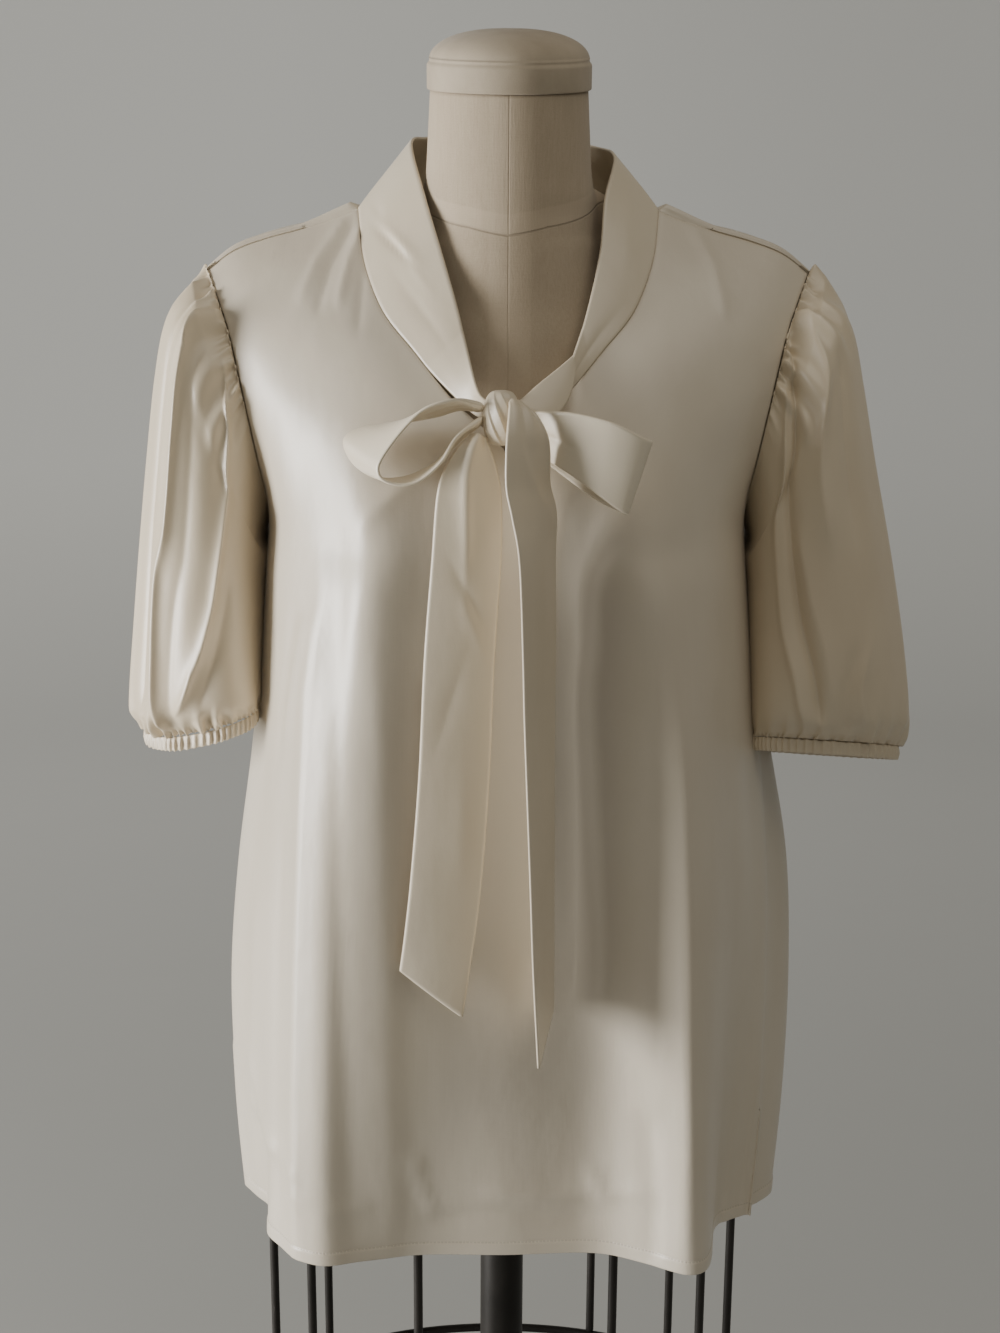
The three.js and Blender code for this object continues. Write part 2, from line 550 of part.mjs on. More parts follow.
// A front or back panel, with its edges drawn in at the seams and its vents opened.
function panel(name) {
  const surface = new Surface();
  const normalOf = new Map();
  const rows = panelRows(name);
  const slitRow = rows.findIndex((v) => v >= SKIRT.levels.length + (name === "front" ? 1 : 5));
  const count = rows.length;
  const range = (from, to) => Array.from({ length: to - from }, (_, k) => from + k);
  for (const side of [-1, 1]) {
    const plain = grids[name + side];
    const grid = plain.map((row) => row.map((p) => p.clone()));
    drawIn(grid, range(0, count).map((j) => [COLUMNS, j, COLUMNS - 1, j]));
    drawIn(grid, range(0, COLUMNS + 1).map((i) => [i, count - 1, i, count - 2]));
    drawIn(grid, range(slitRow + 1, count).map((j) => [0, j, 1, j]));
    for (const row of grid) row[COLUMNS].y += (name === "front" ? -1 : 1) * ventAt(row[COLUMNS].z);
    grid.forEach((row, j) =>
      row.forEach((p, i) => normalOf.set(surface.vertex(p), bodyNormals[bodySurface.vertex(plain[j][i])])),
    );
    surface.addGrid(grid, (name === "front") === side < 0);
  }
  return wall(surface, CLOTH, surface.points.map((_, n) => normalOf.get(n)));
}

// The armhole as straight steps between the panels' rows: a half turn down the front, then up the back.
function armholeLoop(side) {
  const edge = (name) => grids[name + side].slice(SKIRT_ROWS).map((row) => row[COLUMNS]);
  return { front: edge("front").reverse(), back: edge("back").reverse() };
}

// The armhole's point at a turn in degrees: 0 at the shoulder seam, 90 at the front, 180 at the underarm.
function armholePoint(loop, turn) {
  const edge = turn >= 0 ? loop.front : loop.back;
  const position = (Math.min(180, Math.abs(turn)) / 180) * (edge.length - 1);
  const i = Math.min(edge.length - 2, Math.floor(position));
  return edge[i].clone().lerp(edge[i + 1], position - i);
}

// A ring of the sleeve, at a position counted in table rows, before its gathers and folds.
function sleeveOval(side, position, turn) {
  const rings = SLEEVE_RINGS[side > 0 ? "right" : "left"].map((row) => Object.values(row));
  const [outX, outY, outZ, inX, inY, inZ, front, back, lean, tuck] = along(rings, position);
  const outwards = (1 + Math.cos(radians(turn))) / 2;
  const ahead = Math.sin(radians(turn));
  const reach = Math.sign(ahead) * Math.abs(ahead) ** 0.9 * (ahead > 0 ? front : back);
  return new THREE.Vector3(
    side * (mix(inX, outX, outwards) + tuck * (1 - outwards) * Math.max(0, -ahead)),
    mix(inY, outY, outwards) - reach,
    mix(inZ, outZ, outwards) + (lean * reach) / (front + back),
  );
}

// How far the cloth of the sleeve stands out at a turn, from gathers at both ends and long folds between.
function sleeveRelief(position, turn) {
  const fromHead = position + 1;
  const fromCuff = LAST_RING - position;
  const upper = smoothstep((125 - Math.abs(turn)) / 45);
  const awayFromBody = smoothstep((150 - Math.abs(turn)) / 40);
  const head = HEAD_GATHER_DEPTH * upper * smoothstep(fromHead * 2.2) * smoothstep((3 - fromHead) / 2.4);
  const hem = HEM_GATHER_DEPTH * smoothstep((2.6 - fromCuff) / 2.4) * mix(0.4, 1, awayFromBody);
  const long = smoothstep(fromHead / 2) * smoothstep(fromCuff / 2 + 0.15);
  let relief = (head + hem) * Math.cos((radians(turn) * SLEEVE_POINTS) / 3);
  for (const fold of SLEEVE_FOLDS) {
    const away = (turn - fold.at) / fold.width;
    relief += fold.depth * long * Math.exp(-away * away) * awayFromBody;
  }
  return relief;
}

function sleevePoint(side, loop, position, turn) {
  const oval = sleeveOval(side, Math.max(0, position), turn);
  const seam = armholePoint(loop, turn);
  const joined = seam.clone().lerp(oval, smoothstep((position + 1) / 1.6));
  const centre = sleeveOval(side, Math.max(0, position), 0).lerp(sleeveOval(side, Math.max(0, position), 180), 0.5);
  const outward = oval.clone().sub(centre).normalize();
  return joined.addScaledVector(outward, sleeveRelief(position, turn));
}

const sleeveTurns = (count) => Array.from({ length: count }, (_, i) => -180 + (360 * i) / count);

function sleeve(side) {
  const loop = armholeLoop(side);
  const positions = [-1, -0.6, 0, 1, 2.4, 4, 5.6, 7, LAST_RING];
  const rings = positions.map((position) =>
    sleeveTurns(SLEEVE_POINTS).map((turn) => sleevePoint(side, loop, position, turn)),
  );
  rings[0].forEach((p, i) => {
    p.addScaledVector(rings[1][i].clone().sub(p).normalize(), SEAM_GAP / 2);
    p.x += (side * SEAM_GAP) / 2;
  });
  const surface = new Surface().addGrid(rings, side < 0, true);
  return wall(surface, CLOTH);
}

// The elastic cuff: a plain ring inside, and its gathers raised on the outside.
function cuff(side) {
  const turns = sleeveTurns(CUFF_GATHERS * 2);
  const ring = (drop, out, gathered) =>
    turns.map((turn, i) => {
      const p = sleeveOval(side, LAST_RING, turn);
      const outward = sleeveOval(side, LAST_RING, turn).sub(sleeveOval(side, LAST_RING, turn + 180)).normalize();
      const raised = gathered && i % 2 === 1 ? CUFF_GATHER_DEPTH : 0;
      p.z -= drop;
      return p.addScaledVector(outward, out + raised);
    });
  const top = SEAM_GAP;
  const bottom = top + CUFF_HEIGHT;
  const rings = [
    ring(top, -CLOTH, false),
    ring(top, 0, true),
    ring(bottom, 0, true),
    ring(bottom, -CLOTH, false),
  ];
  return loft(side > 0 ? rings : rings.map((r) => [...r].reverse()), true);
}

// The collar's border lines on one side: its seam follows the neckline from the middle of the back to the front,
// in straight steps between the panels' rows, and its fold runs beside it.
function collarLines(side) {
  const foldLine = COLLAR_FOLD[side > 0 ? "right" : "left"].map((p) => [side * p[0], p[1], p[2]]);
  const mirrored = [-foldLine[1][0], foldLine[1][1], foldLine[1][2]];
  const skirtEnd = SKIRT.levels.length - 1;
  const edge = [];
  panelRows("back").forEach((v, j) => {
    if (v >= skirtEnd + 6) edge.push({ at: v - skirtEnd - 6, point: grids["back" + side][j][0] });
  });
  const frontRows = panelRows("front").map((v, j) => ({ v, j })).reverse();
  for (const { v, j } of frontRows.slice(1))
    if (v >= skirtEnd + 3) edge.push({ at: 3 + skirtEnd + 7 - v, point: grids["front" + side][j][0] });
  const lines = [];
  for (let k = 0; k + 1 < edge.length; k++) {
    const parts = Math.ceil(edge[k].point.distanceTo(edge[k + 1].point) / COLLAR_STEP);
    for (let i = k ? 1 : 0; i <= parts; i++) {
      const seam = edge[k].point.clone().lerp(edge[k + 1].point, i / parts);
      const fold = vector(along(foldLine, mix(edge[k].at, edge[k + 1].at, i / parts), mirrored));
      lines.push([seam, fold]);
    }
  }
  lines[0][1].x = 0;
  for (const [seam, fold] of lines) seam.addScaledVector(fold.clone().sub(seam).normalize(), SEAM_GAP);
  const last = lines[lines.length - 1];
  const ends = COLLAR_END[side > 0 ? "right" : "left"].map(([seam, fold]) => [vector(seam), vector(fold)]);
  const run = [last, ...ends].map(([seam, fold]) => [...seam.toArray(), ...fold.toArray()]);
  const before = [...lines[lines.length - 2][0].toArray(), ...lines[lines.length - 2][1].toArray()];
  for (let i = 1; i <= COLLAR_END_STEPS; i++) {
    const at = along(run, (ends.length * i) / COLLAR_END_STEPS, before);
    lines.push([vector(at.slice(0, 3)), vector(at.slice(3))]);
  }
  return lines;
}

// The collar: a double band that stands round the neck and runs down both sides of the V to the knot.
function collar() {
  const surface = new Surface();
  for (const side of [-1, 1]) {
    const lines = collarLines(side);
    const grid = lines.map(([seam, fold], j) =>
      [0, 1, 2, 3, 4].map((i) => {
        const swell = 0.8 * Math.sin((Math.PI * i) / 4) * clamp((lines.length - 1 - j) / 8);
        const outward = new THREE.Vector3(seam.x + fold.x, seam.y + fold.y, 0).normalize();
        return seam.clone().lerp(fold, i / 4).addScaledVector(outward, swell);
      }),
    );
    surface.addGrid(grid, side < 0);
  }
  return wall(surface, DOUBLE_CLOTH);
}

// A ribbon as a double wall along its rows, with a shallow curl across its width.
function ribbon(rows, steps, curl) {
  const across = 4;
  const table = rows.map((row) => [...row.at, ...row.half]);
  const grid = [];
  for (let j = 0; j <= steps; j++) {
    const [x, y, z, hx, hy, hz] = along(table, ((rows.length - 1) * j) / steps);
    const row = [];
    for (let i = 0; i <= across; i++) {
      const share = (2 * i) / across - 1;
      row.push(new THREE.Vector3(x + hx * share, y + hy * share - curl * (1 - share * share), z + hz * share));
    }
    grid.push(row);
  }
  const surface = new Surface().addGrid(grid);
  return wall(surface, DOUBLE_CLOTH);
}

// The knot: a rounded barrel with three raised wraps round it.
function knot() {
  const rings = [];
  const levels = 10;
  for (let j = 1; j < levels; j++) {
    const tall = Math.PI * (j / levels - 0.5);
    const ring = [];
    for (let i = 0; i < 20; i++) {
      const angle = (2 * Math.PI * i) / 20;
      const wrap = 1 + 0.05 * Math.cos(3 * (angle * 0.5 + tall));
      const waist = Math.cos(tall) ** 0.55;
      ring.push(
        new THREE.Vector3(
          KNOT.x + KNOT.halfWidth * waist * wrap * Math.cos(angle) * 0.95,
          KNOT.y + KNOT.halfDepth * waist * wrap * Math.sin(angle) * 0.95,
          KNOT.z + KNOT.halfHeight * Math.sin(tall),
        ),
      );
    }
    rings.push(ring);
  }
  return loft(rings);
}

// How far an oval reaches from the axis in a direction. Its middle lies between its front and its back.
function ovalReach(half, front, back, cos, sin) {
  const depth = (front + back) / 2;
  const shift = (back - front) / 2;
  const a = (cos / half) ** 2 + (sin / depth) ** 2;
  const b = (-2 * sin * shift) / depth ** 2;
  const c = (shift / depth) ** 2 - 1;
  return (-b + Math.sqrt(b * b - 4 * a * c)) / (2 * a);
}

// A section of the dress form at a row of its table: the body's oval and the neck's, blended where they cross.
function formRing(row) {
  const ring = [];
  const standing = row.z > 1395;
  const [front, back] = standing ? [row.neckFront, row.neckBack] : [row.front, row.back];
  for (let i = 0; i < FORM_SIDES; i++) {
    const angle = (2 * Math.PI * i) / FORM_SIDES;
    const [cos, sin] = [Math.cos(angle), Math.sin(angle)];
    const body = ovalReach(row.half, row.front, row.back, cos, sin);
    const neck = ovalReach(row.neck, row.neckFront, row.neckBack, cos, sin);
    const reach = standing ? neck : (body ** 9 + neck ** 9) ** (1 / 9);
    const y = reach * sin;
    const rise = (row.lift * (y - (back - front) / 2)) / (front + back);
    ring.push(new THREE.Vector3(reach * cos, y, row.z + rise));
  }
  return ring;
}

function formTorso() {
  return loft(FORM_SECTIONS.map(formRing));
}

// The turned cap on the neck, tilted as the neck's top is.
function formCap() {
  const neck = FORM_SECTIONS[FORM_SECTIONS.length - 1];
  const { radius, skirt, dome } = CAP;
  const profile = [new THREE.Vector2(0, 0), new THREE.Vector2(radius, 0), new THREE.Vector2(radius, skirt - 4)];
  for (let i = 0; i <= 5; i++) {
    const angle = (Math.PI / 2) * (i / 5);
    const x = i === 5 ? 0 : (radius - 1.5) * Math.cos(angle) ** 0.8;
    profile.push(new THREE.Vector2(x, skirt + dome * Math.sin(angle)));
  }
  const made = new THREE.LatheGeometry(profile, 32);
  made.rotateX(Math.PI / 2);
  made.rotateX(Math.atan(neck.lift / (neck.neckFront + neck.neckBack)));
  made.translate(0, (neck.neckBack - neck.neckFront) / 2, neck.z + SEAT_GAP);
  return closed(made);
}

// Merges a turned geometry's points, so that its seam closes.
function closed(made) {
  const plain = made.index ? made.toNonIndexed() : made;
  const surface = new Surface();
  const position = plain.getAttribute("position");
  for (let i = 0; i < position.count; i += 3) {
    const face = [0, 1, 2].map((k) => surface.vertex(new THREE.Vector3().fromBufferAttribute(position, i + k)));
    if (new Set(face).size === 3) surface.faces.push(face);
  }
  return geometry(surface.points, surface.faces.flat());
}

// A round bar between two points.
function bar(from, to, radius, sides) {
  const direction = to.clone().sub(from).normalize();
  const helper = Math.abs(direction.z) > 0.9 ? new THREE.Vector3(1, 0, 0) : new THREE.Vector3(0, 0, 1);
  const u = helper.clone().cross(direction).normalize();
  const w = direction.clone().cross(u);
  const ring = (centre) =>
    Array.from({ length: sides }, (_, i) => {
      const angle = (2 * Math.PI * i) / sides;
      return centre.clone().addScaledVector(u, radius * Math.cos(angle)).addScaledVector(w, radius * Math.sin(angle));
    });
  return loft([ring(from), ring(to)]);
}

// Where a rod of the cage stands: on an oval just inside the form's bottom edge, and a little narrower below.
function rodPlace(angle, share) {
  const bottom = FORM_SECTIONS[0];
  const inset = mix(7, 9, share);
  return new THREE.Vector2(
    (bottom.half - inset) * Math.cos(radians(angle)),
    (bottom.back - bottom.front) / 2 + ((bottom.front + bottom.back) / 2 - inset) * Math.sin(radians(angle)),
  );
}

function cageRod(angle) {
  const top = rodPlace(angle, 0);
  const foot = rodPlace(angle, 1);
  return bar(
    new THREE.Vector3(foot.x, foot.y, CAGE_BOTTOM_Z + ROD_RADIUS + SEAT_GAP),
    new THREE.Vector3(top.x, top.y, FORM_BOTTOM_Z - SEAT_GAP),
    ROD_RADIUS,
    8,
  );
}

// The hoop that the rods end on.
function cageRing() {
  const steps = 40;
  const sides = 6;
  const rings = [];
  for (let i = 0; i < steps; i++) {
    const place = rodPlace((360 * i) / steps, 1);
    const next = rodPlace((360 * i) / steps + 0.1, 1);
    const outward = new THREE.Vector3(next.y - place.y, place.x - next.x, 0).normalize();
    const ring = [];
    for (let k = 0; k < sides; k++) {
      const angle = (-2 * Math.PI * k) / sides;
      const size = ROD_RADIUS / Math.cos(Math.PI / sides);
      const p = new THREE.Vector3(place.x, place.y, CAGE_BOTTOM_Z + size * Math.sin(angle));
      ring.push(p.addScaledVector(outward, size * Math.cos(angle)));
    }
    rings.push(ring);
  }
  return loft(rings, true);
}

function pole() {
  return bar(
    new THREE.Vector3(0, 0, BASE_THICKNESS + BASE_RISE + BOSS_HEIGHT + 2 * SEAT_GAP),
    new THREE.Vector3(0, 0, FORM_BOTTOM_Z - SEAT_GAP),
    POLE_RADIUS,
    24,
  );
}

// A solid turned round the upright axis from a profile of radii and heights.
function turned(profile, sides) {
  const points = profile.map(([r, z]) => new THREE.Vector2(r, z));
  return closed(new THREE.LatheGeometry(points, sides).rotateX(Math.PI / 2));
}

// The base: a flat round plate whose top rises a little towards its middle.
function basePlate() {
  const profile = [
    [0, 0],
    [BASE_RADIUS, 0],
    [BASE_RADIUS, BASE_THICKNESS - 5],
    [BASE_RADIUS - 7, BASE_THICKNESS],
    [46, BASE_THICKNESS + BASE_RISE],
    [0, BASE_THICKNESS + BASE_RISE],
  ];
  return turned(profile, 44);
}

// The boss on the plate, which the pole stands on.
function baseBoss() {
  const foot = BASE_THICKNESS + BASE_RISE + SEAT_GAP;
  const top = foot + BOSS_HEIGHT;
  const profile = [
    [0, foot],
    [34, foot],
    [33, foot + 10],
    [28, top - 4],
    [24, top],
    [0, top],
  ];
  return turned(profile, 32);
}

const blouse = new THREE.Group();
const dressForm = new THREE.Group();

function add(group, name, made, material) {
  const mesh = new THREE.Mesh(made, material);
  mesh.name = name;
  group.add(mesh);
}

add(blouse, "front", panel("front"), cream);
add(blouse, "back", panel("back"), cream);
for (const [name, side] of Object.entries(SIDES)) {
  add(blouse, "sleeve_" + name, sleeve(side), cream);
  add(blouse, "cuff_" + name, cuff(side), cream);
}
add(blouse, "collar", collar(), cream);
add(blouse, "bow_knot", knot(), cream);
add(blouse, "bow_loop_left", ribbon(LEFT_LOOP, 22, 0), cream);
add(blouse, "bow_loop_right", ribbon(RIGHT_LOOP, 20, 0), cream);
add(blouse, "bow_tail_left", ribbon(LEFT_TAIL, 14, 1.5), cream);
add(blouse, "bow_tail_right", ribbon(RIGHT_TAIL, 15, 0), cream);

add(dressForm, "form_torso", formTorso(), linen);
add(dressForm, "form_cap", formCap(), capCloth);
ROD_ANGLES.forEach((angle, i) => add(dressForm, "cage_rod_" + (i + 1), cageRod(angle), blackMetal));
add(dressForm, "cage_ring", cageRing(), blackMetal);
add(dressForm, "stand_pole", pole(), blackMetal);
add(dressForm, "stand_boss", baseBoss(), blackMetal);
add(dressForm, "stand_base", basePlate(), blackMetal);

const root = new THREE.Group();
root.add(blouse, dressForm);

export default root;
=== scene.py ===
import math
import bpy
import numpy as np
from mathutils import Matrix, Vector


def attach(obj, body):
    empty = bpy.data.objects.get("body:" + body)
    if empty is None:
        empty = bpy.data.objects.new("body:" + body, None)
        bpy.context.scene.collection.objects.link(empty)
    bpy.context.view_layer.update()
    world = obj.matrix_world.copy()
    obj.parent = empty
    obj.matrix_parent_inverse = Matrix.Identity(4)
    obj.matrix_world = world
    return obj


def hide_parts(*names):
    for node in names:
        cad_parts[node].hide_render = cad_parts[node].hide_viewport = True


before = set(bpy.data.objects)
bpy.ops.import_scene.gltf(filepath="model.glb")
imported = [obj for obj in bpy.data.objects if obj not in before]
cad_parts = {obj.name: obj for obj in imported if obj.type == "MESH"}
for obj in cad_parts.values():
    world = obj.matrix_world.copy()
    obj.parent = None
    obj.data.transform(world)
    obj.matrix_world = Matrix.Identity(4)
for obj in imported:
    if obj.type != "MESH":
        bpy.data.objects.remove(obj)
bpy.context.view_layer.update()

# A cream tie neck blouse with short puff sleeves and a soft bow, on a limbless linen dress form. The tables
# are in millimetres and the same as the part's. The shapes between their rows are finer here, and each mesh
# is in metres.
MM = 0.001

CLOTH = 1.2
DOUBLE_CLOTH = 2
SEAM_GAP = 0.6
HEM_Z = 651
HEM_STITCHES = 9.2
VENT_HEIGHT = 115
VENT_SPREAD = 5

SKIRT_LEVELS = (651, 730, 820, 910, 1000, 1080, 1130, 1160)
CENTRES = {
    "front": (
        (-124, -126, -129, -132, -136, -140, -141, -139), (-124, -127, -131, -135, -140, -145, -147, -144),
    ),
    "back": ((134, 134, 131, 127, 121, 115, 111, 108), (128, 129, 128, 126, 122, 117, 113, 111)),
}
FRONT_SKIRT = {
    1: (
        (138, -149, 155, -84, 167, -70, 183, -57), (136, -149, 159, -87, 173, -69, 189, -51),
        (132, -149, 162, -90, 177, -67, 192, -44), (128, -149, 162, -94, 177, -66, 191, -36),
        (122, -148, 157, -96, 171, -62, 184, -26), (112, -149, 152, -97, 167, -58, 176, -18),
        (101, -151, 147, -99, 164, -54, 172, -8), (96, -144, 143, -98, 163, -50, 170, 0),
    ),
    -1: (
        (128, -141, 168, -100, 172, -55, 196, -10), (127, -142, 164, -101, 179, -56, 202, -10),
        (124, -143, 161, -102, 182, -56, 204, -8), (121, -144, 158, -102, 179, -56, 197, -6),
        (116, -146, 152, -102, 169, -60, 184, -14), (108, -148, 149, -100, 166, -56, 177, -8),
        (100, -151, 146, -99, 165, -52, 173, 0), (96, -144, 143, -98, 163, -50, 170, 0),
    ),
}
BACK_SKIRT = {
    1: (
        (100, 150, 152, 104, 205, -8), (100, 148, 155, 103, 212, 2), (99, 144, 157, 101, 215, 12),
        (98, 139, 156, 98, 211, 20), (97, 132, 152, 94, 194, 18), (95, 125, 147, 89, 179, 26),
        (93, 120, 142, 86, 169, 36), (92, 116, 138, 84, 163, 46),
    ),
    -1: (
        (104, 148, 156, 108, 194, 44), (103, 146, 158, 106, 199, 44), (102, 142, 158, 104, 200, 44),
        (100, 137, 155, 100, 192, 44), (98, 131, 151, 95, 182, 44), (96, 125, 146, 90, 174, 44),
        (93, 120, 142, 86, 168, 44), (92, 116, 138, 84, 163, 46),
    ),
}
FRONT_YOKE = (
    (0, -134, 1190, 49, -139, 98, -137, 139, -101, 158, -70, 169, -28, 1180, 0),
    (0, -127, 1221, 50, -131, 100, -126, 139, -100, 159, -79, 173, -52, 1212, 0),
    (36, -115, 1256, 72, -117, 107, -111, 141, -96, 161, -81, 178, -62, 1243, 0),
    (62, -99, 1286, 90, -100, 117, -95, 145, -84, 166, -73, 184, -59, 1270, 1),
    (84, -78, 1312, 106, -78, 129, -74, 152, -67, 172, -59, 191, -48, 1296, 2),
    (98, -50, 1345, 119, -49, 141, -47, 162, -43, 182, -38, 200, -32, 1318, 3),
    (104, -14, 1379, 125, -14, 146, -14, 167, -14, 190, -14, 209, -14, 1337, 6),
)
BACK_YOKE = (
    (0, 106, 1190, 46, 109, 92, 112, 134, 88, 156, 62, 169, 28, 1180, 0),
    (0, 104, 1226, 47, 107, 94, 106, 136, 86, 158, 69, 173, 50, 1213, 1),
    (0, 101, 1266, 49, 103, 98, 98, 139, 82, 161, 70, 179, 58, 1246, 4),
    (0, 96, 1306, 51, 97, 102, 87, 143, 72, 167, 63, 186, 54, 1275, 8),
    (0, 85, 1345, 54, 86, 108, 69, 149, 56, 174, 48, 194, 42, 1299, 14),
    (0, 71, 1384, 58, 67, 113, 50, 154, 40, 179, 34, 199, 29, 1314, 16),
    (52, 61, 1389, 87, 47, 122, 35, 157, 27, 182, 20, 204, 14, 1327, 15),
    (86, 33, 1389, 110, 21, 134, 14, 160, 8, 184, 4, 207, 0, 1334, 12),
    (104, -14, 1379, 125, -14, 146, -14, 167, -14, 190, -14, 209, -14, 1337, 6),
)
SLEEVE_RINGS = {
    1: (
        (224, -14, 1326, 175, -2, 1150, 66, 66, 0, 0), (238, -12, 1300, 178, -4, 1136, 73, 72, 4, 0),
        (247, -10, 1262, 180, -8, 1120, 75, 76, 8, 0), (258, -8, 1208, 181, -14, 1100, 74, 79, 12, 2),
        (272, -6, 1144, 182, -20, 1074, 72, 80, 16, 5), (284, -5, 1081, 183, -28, 1049, 68, 80, 20, 9),
        (292, -4, 1027, 184, -36, 1025, 60, 74, 24, 14), (292, -4, 1006, 185, -40, 1014, 50, 64, 25, 18),
        (288, -4, 996, 186, -42, 1009, 42, 54, 25, 20),
    ),
    -1: (
        (223, -14, 1326, 175, -2, 1150, 66, 66, 0, 0), (236, -12, 1300, 178, -4, 1136, 73, 72, 2, 0),
        (244, -10, 1262, 180, -8, 1120, 75, 76, 4, 0), (251, -8, 1208, 181, -14, 1102, 74, 79, 4, 2),
        (258, -6, 1146, 182, -20, 1080, 72, 80, 2, 5), (264, -5, 1087, 183, -28, 1059, 68, 80, -4, 9),
        (269, -4, 1039, 183, -36, 1045, 60, 74, -12, 14), (268, -4, 1022, 184, -40, 1040, 50, 64, -16, 18),
        (263, -4, 1012, 185, -42, 1035, 42, 54, -18, 20),
    ),
}
COLLAR_FOLD = {
    1: (
        (0, 76, 1428), (40, 67, 1427), (64, 38, 1423), (74, 0, 1415), (66, -40, 1386), (62, -66, 1350),
        (53, -90, 1312), (42, -110, 1277),
    ),
    -1: (
        (0, 76, 1428), (38, 67, 1430), (60, 38, 1429), (68, 0, 1423), (57, -52, 1386), (44, -80, 1346),
        (33, -100, 1310), (25, -114, 1276),
    ),
}
COLLAR_END = {
    1: ((32, -125, 1253), (33, -131, 1259), (21, -136, 1247), (21, -139, 1250)),
    -1: ((-24, -126, 1249), (-21, -128, 1264), (-14.5, -143, 1247), (-14.4, -144, 1256)),
}
LEFT_LOOP = (
    (-16.2, -154, 1255, 0, 5, -2), (-31, -155, 1257, 0, 12, -4), (-46, -154, 1253, 0, 16, -5),
    (-63, -152, 1247.5, -5.6, 18.5, -4), (-83, -152.5, 1237.5, -11.4, 18.5, 2),
    (-94, -153.5, 1225, -12.2, 17.5, 6), (-90, -155.5, 1212.7, -10.2, 15.5, 3.5),
    (-76, -156.5, 1205.8, -7.9, 14, 0.5), (-60, -156.5, 1207.5, -5, 13.5, -0.5),
    (-43.5, -156, 1218, -2.6, 12, -2), (-31, -155, 1233, 0, 9, -3), (-16.4, -154, 1245, 0, 4.5, -2),
)
RIGHT_LOOP = (
    (10.3, -151, 1239, 2, 0, -12), (24, -158, 1236, 2, 1, -15), (42, -164, 1231, 1, 2, -20),
    (62, -166, 1223, -3, 2, -23), (78, -164, 1214, -6, 1, -23), (84.5, -158, 1211, -7, 0, -22.5),
    (80, -151, 1212, -7, -1, -22.5), (64, -147, 1218, -4, -1, -23), (46, -146, 1225, 0, -1, -21),
    (28, -146, 1231, 1, -1, -15), (10.5, -146, 1236, 1, 0, -9),
)
LEFT_TAIL = (
    (-18.4, -155, 1236, 4, 1, -1), (-21, -158, 1227.5, 10, 2, -1.5), (-23.5, -158, 1213.5, 16.4, 2.5, -0.5),
    (-24.5, -157, 1196, 20, 3, 0), (-26, -156, 1157, 21.5, 3, 0), (-30.5, -156, 1092, 22, 3, 0),
    (-34, -152, 1011, 22.5, 3, 0), (-39, -148, 942, 23, 3, 0), (-43.5, -145, 900, 23, 3, 0),
    (-49.5, -142, 855.5, 20.5, 3, -17.5),
)
RIGHT_TAIL = (
    (5, -158, 1257.5, 3, 1, -1), (9.5, -166.5, 1252, 8, 3, -2.5), (12, -172, 1240, 12, 7, -2),
    (12.4, -173, 1227, 13.5, 11, -1), (12.6, -173, 1206, 13.6, 14, 0), (16.5, -172, 1187, 13.7, 17, 0),
    (18.7, -171, 1159, 11.3, 20, 0), (20.5, -170, 1100, 10.5, 20.5, 0), (21.3, -170, 1051, 9.7, 20.8, 0),
    (23.9, -168, 947, 7.9, 21.5, 0), (25.5, -165, 885, 7, 21.5, 0), (27.7, -162, 827, 5.2, 21, 13),
)
FORM_SECTIONS = (
    (700, 186, 114, 124, 40, 40, 40, 0), (760, 183, 113, 124, 40, 40, 40, 0),
    (840, 164, 103, 112, 40, 40, 40, 0), (940, 122, 86, 84, 40, 40, 40, 0),
    (1020, 132, 98, 88, 40, 40, 40, 0), (1080, 144, 120, 92, 40, 40, 40, 0),
    (1130, 150, 132, 95, 50, 50, 50, 0), (1190, 154, 121, 95, 60, 98.8, 56.2, 0),
    (1240, 162, 98, 92, 78, 109.6, 62.4, 0), (1285, 174, 76, 84, 80, 100.8, 66.2, 0),
    (1315, 183, 58, 74, 74, 92, 68, 0), (1337, 186, 42, 58, 69, 88, 64, 0),
    (1353, 176, 33, 52, 66, 85, 60, 0), (1362, 158, 28, 46, 63, 83, 55, 0),
    (1371.5, 125, 26, 42, 61, 82, 50, 0), (1380, 98, 26, 38, 59.5, 82, 44, 2),
    (1391, 62, 28, 30, 58.4, 82.4, 38, 4), (1404, 40, 28, 20, 56.4, 82.7, 32.4, 7),
    (1430, 40, 28, 12, 54.8, 84.4, 26.4, 11), (1457, 40, 28, 8, 53.3, 85.7, 21.7, 15),
)

KNOT = {"x": -4, "y": -151, "z": 1247, "half_width": 12.2, "half_depth": 12, "half_height": 17.5}
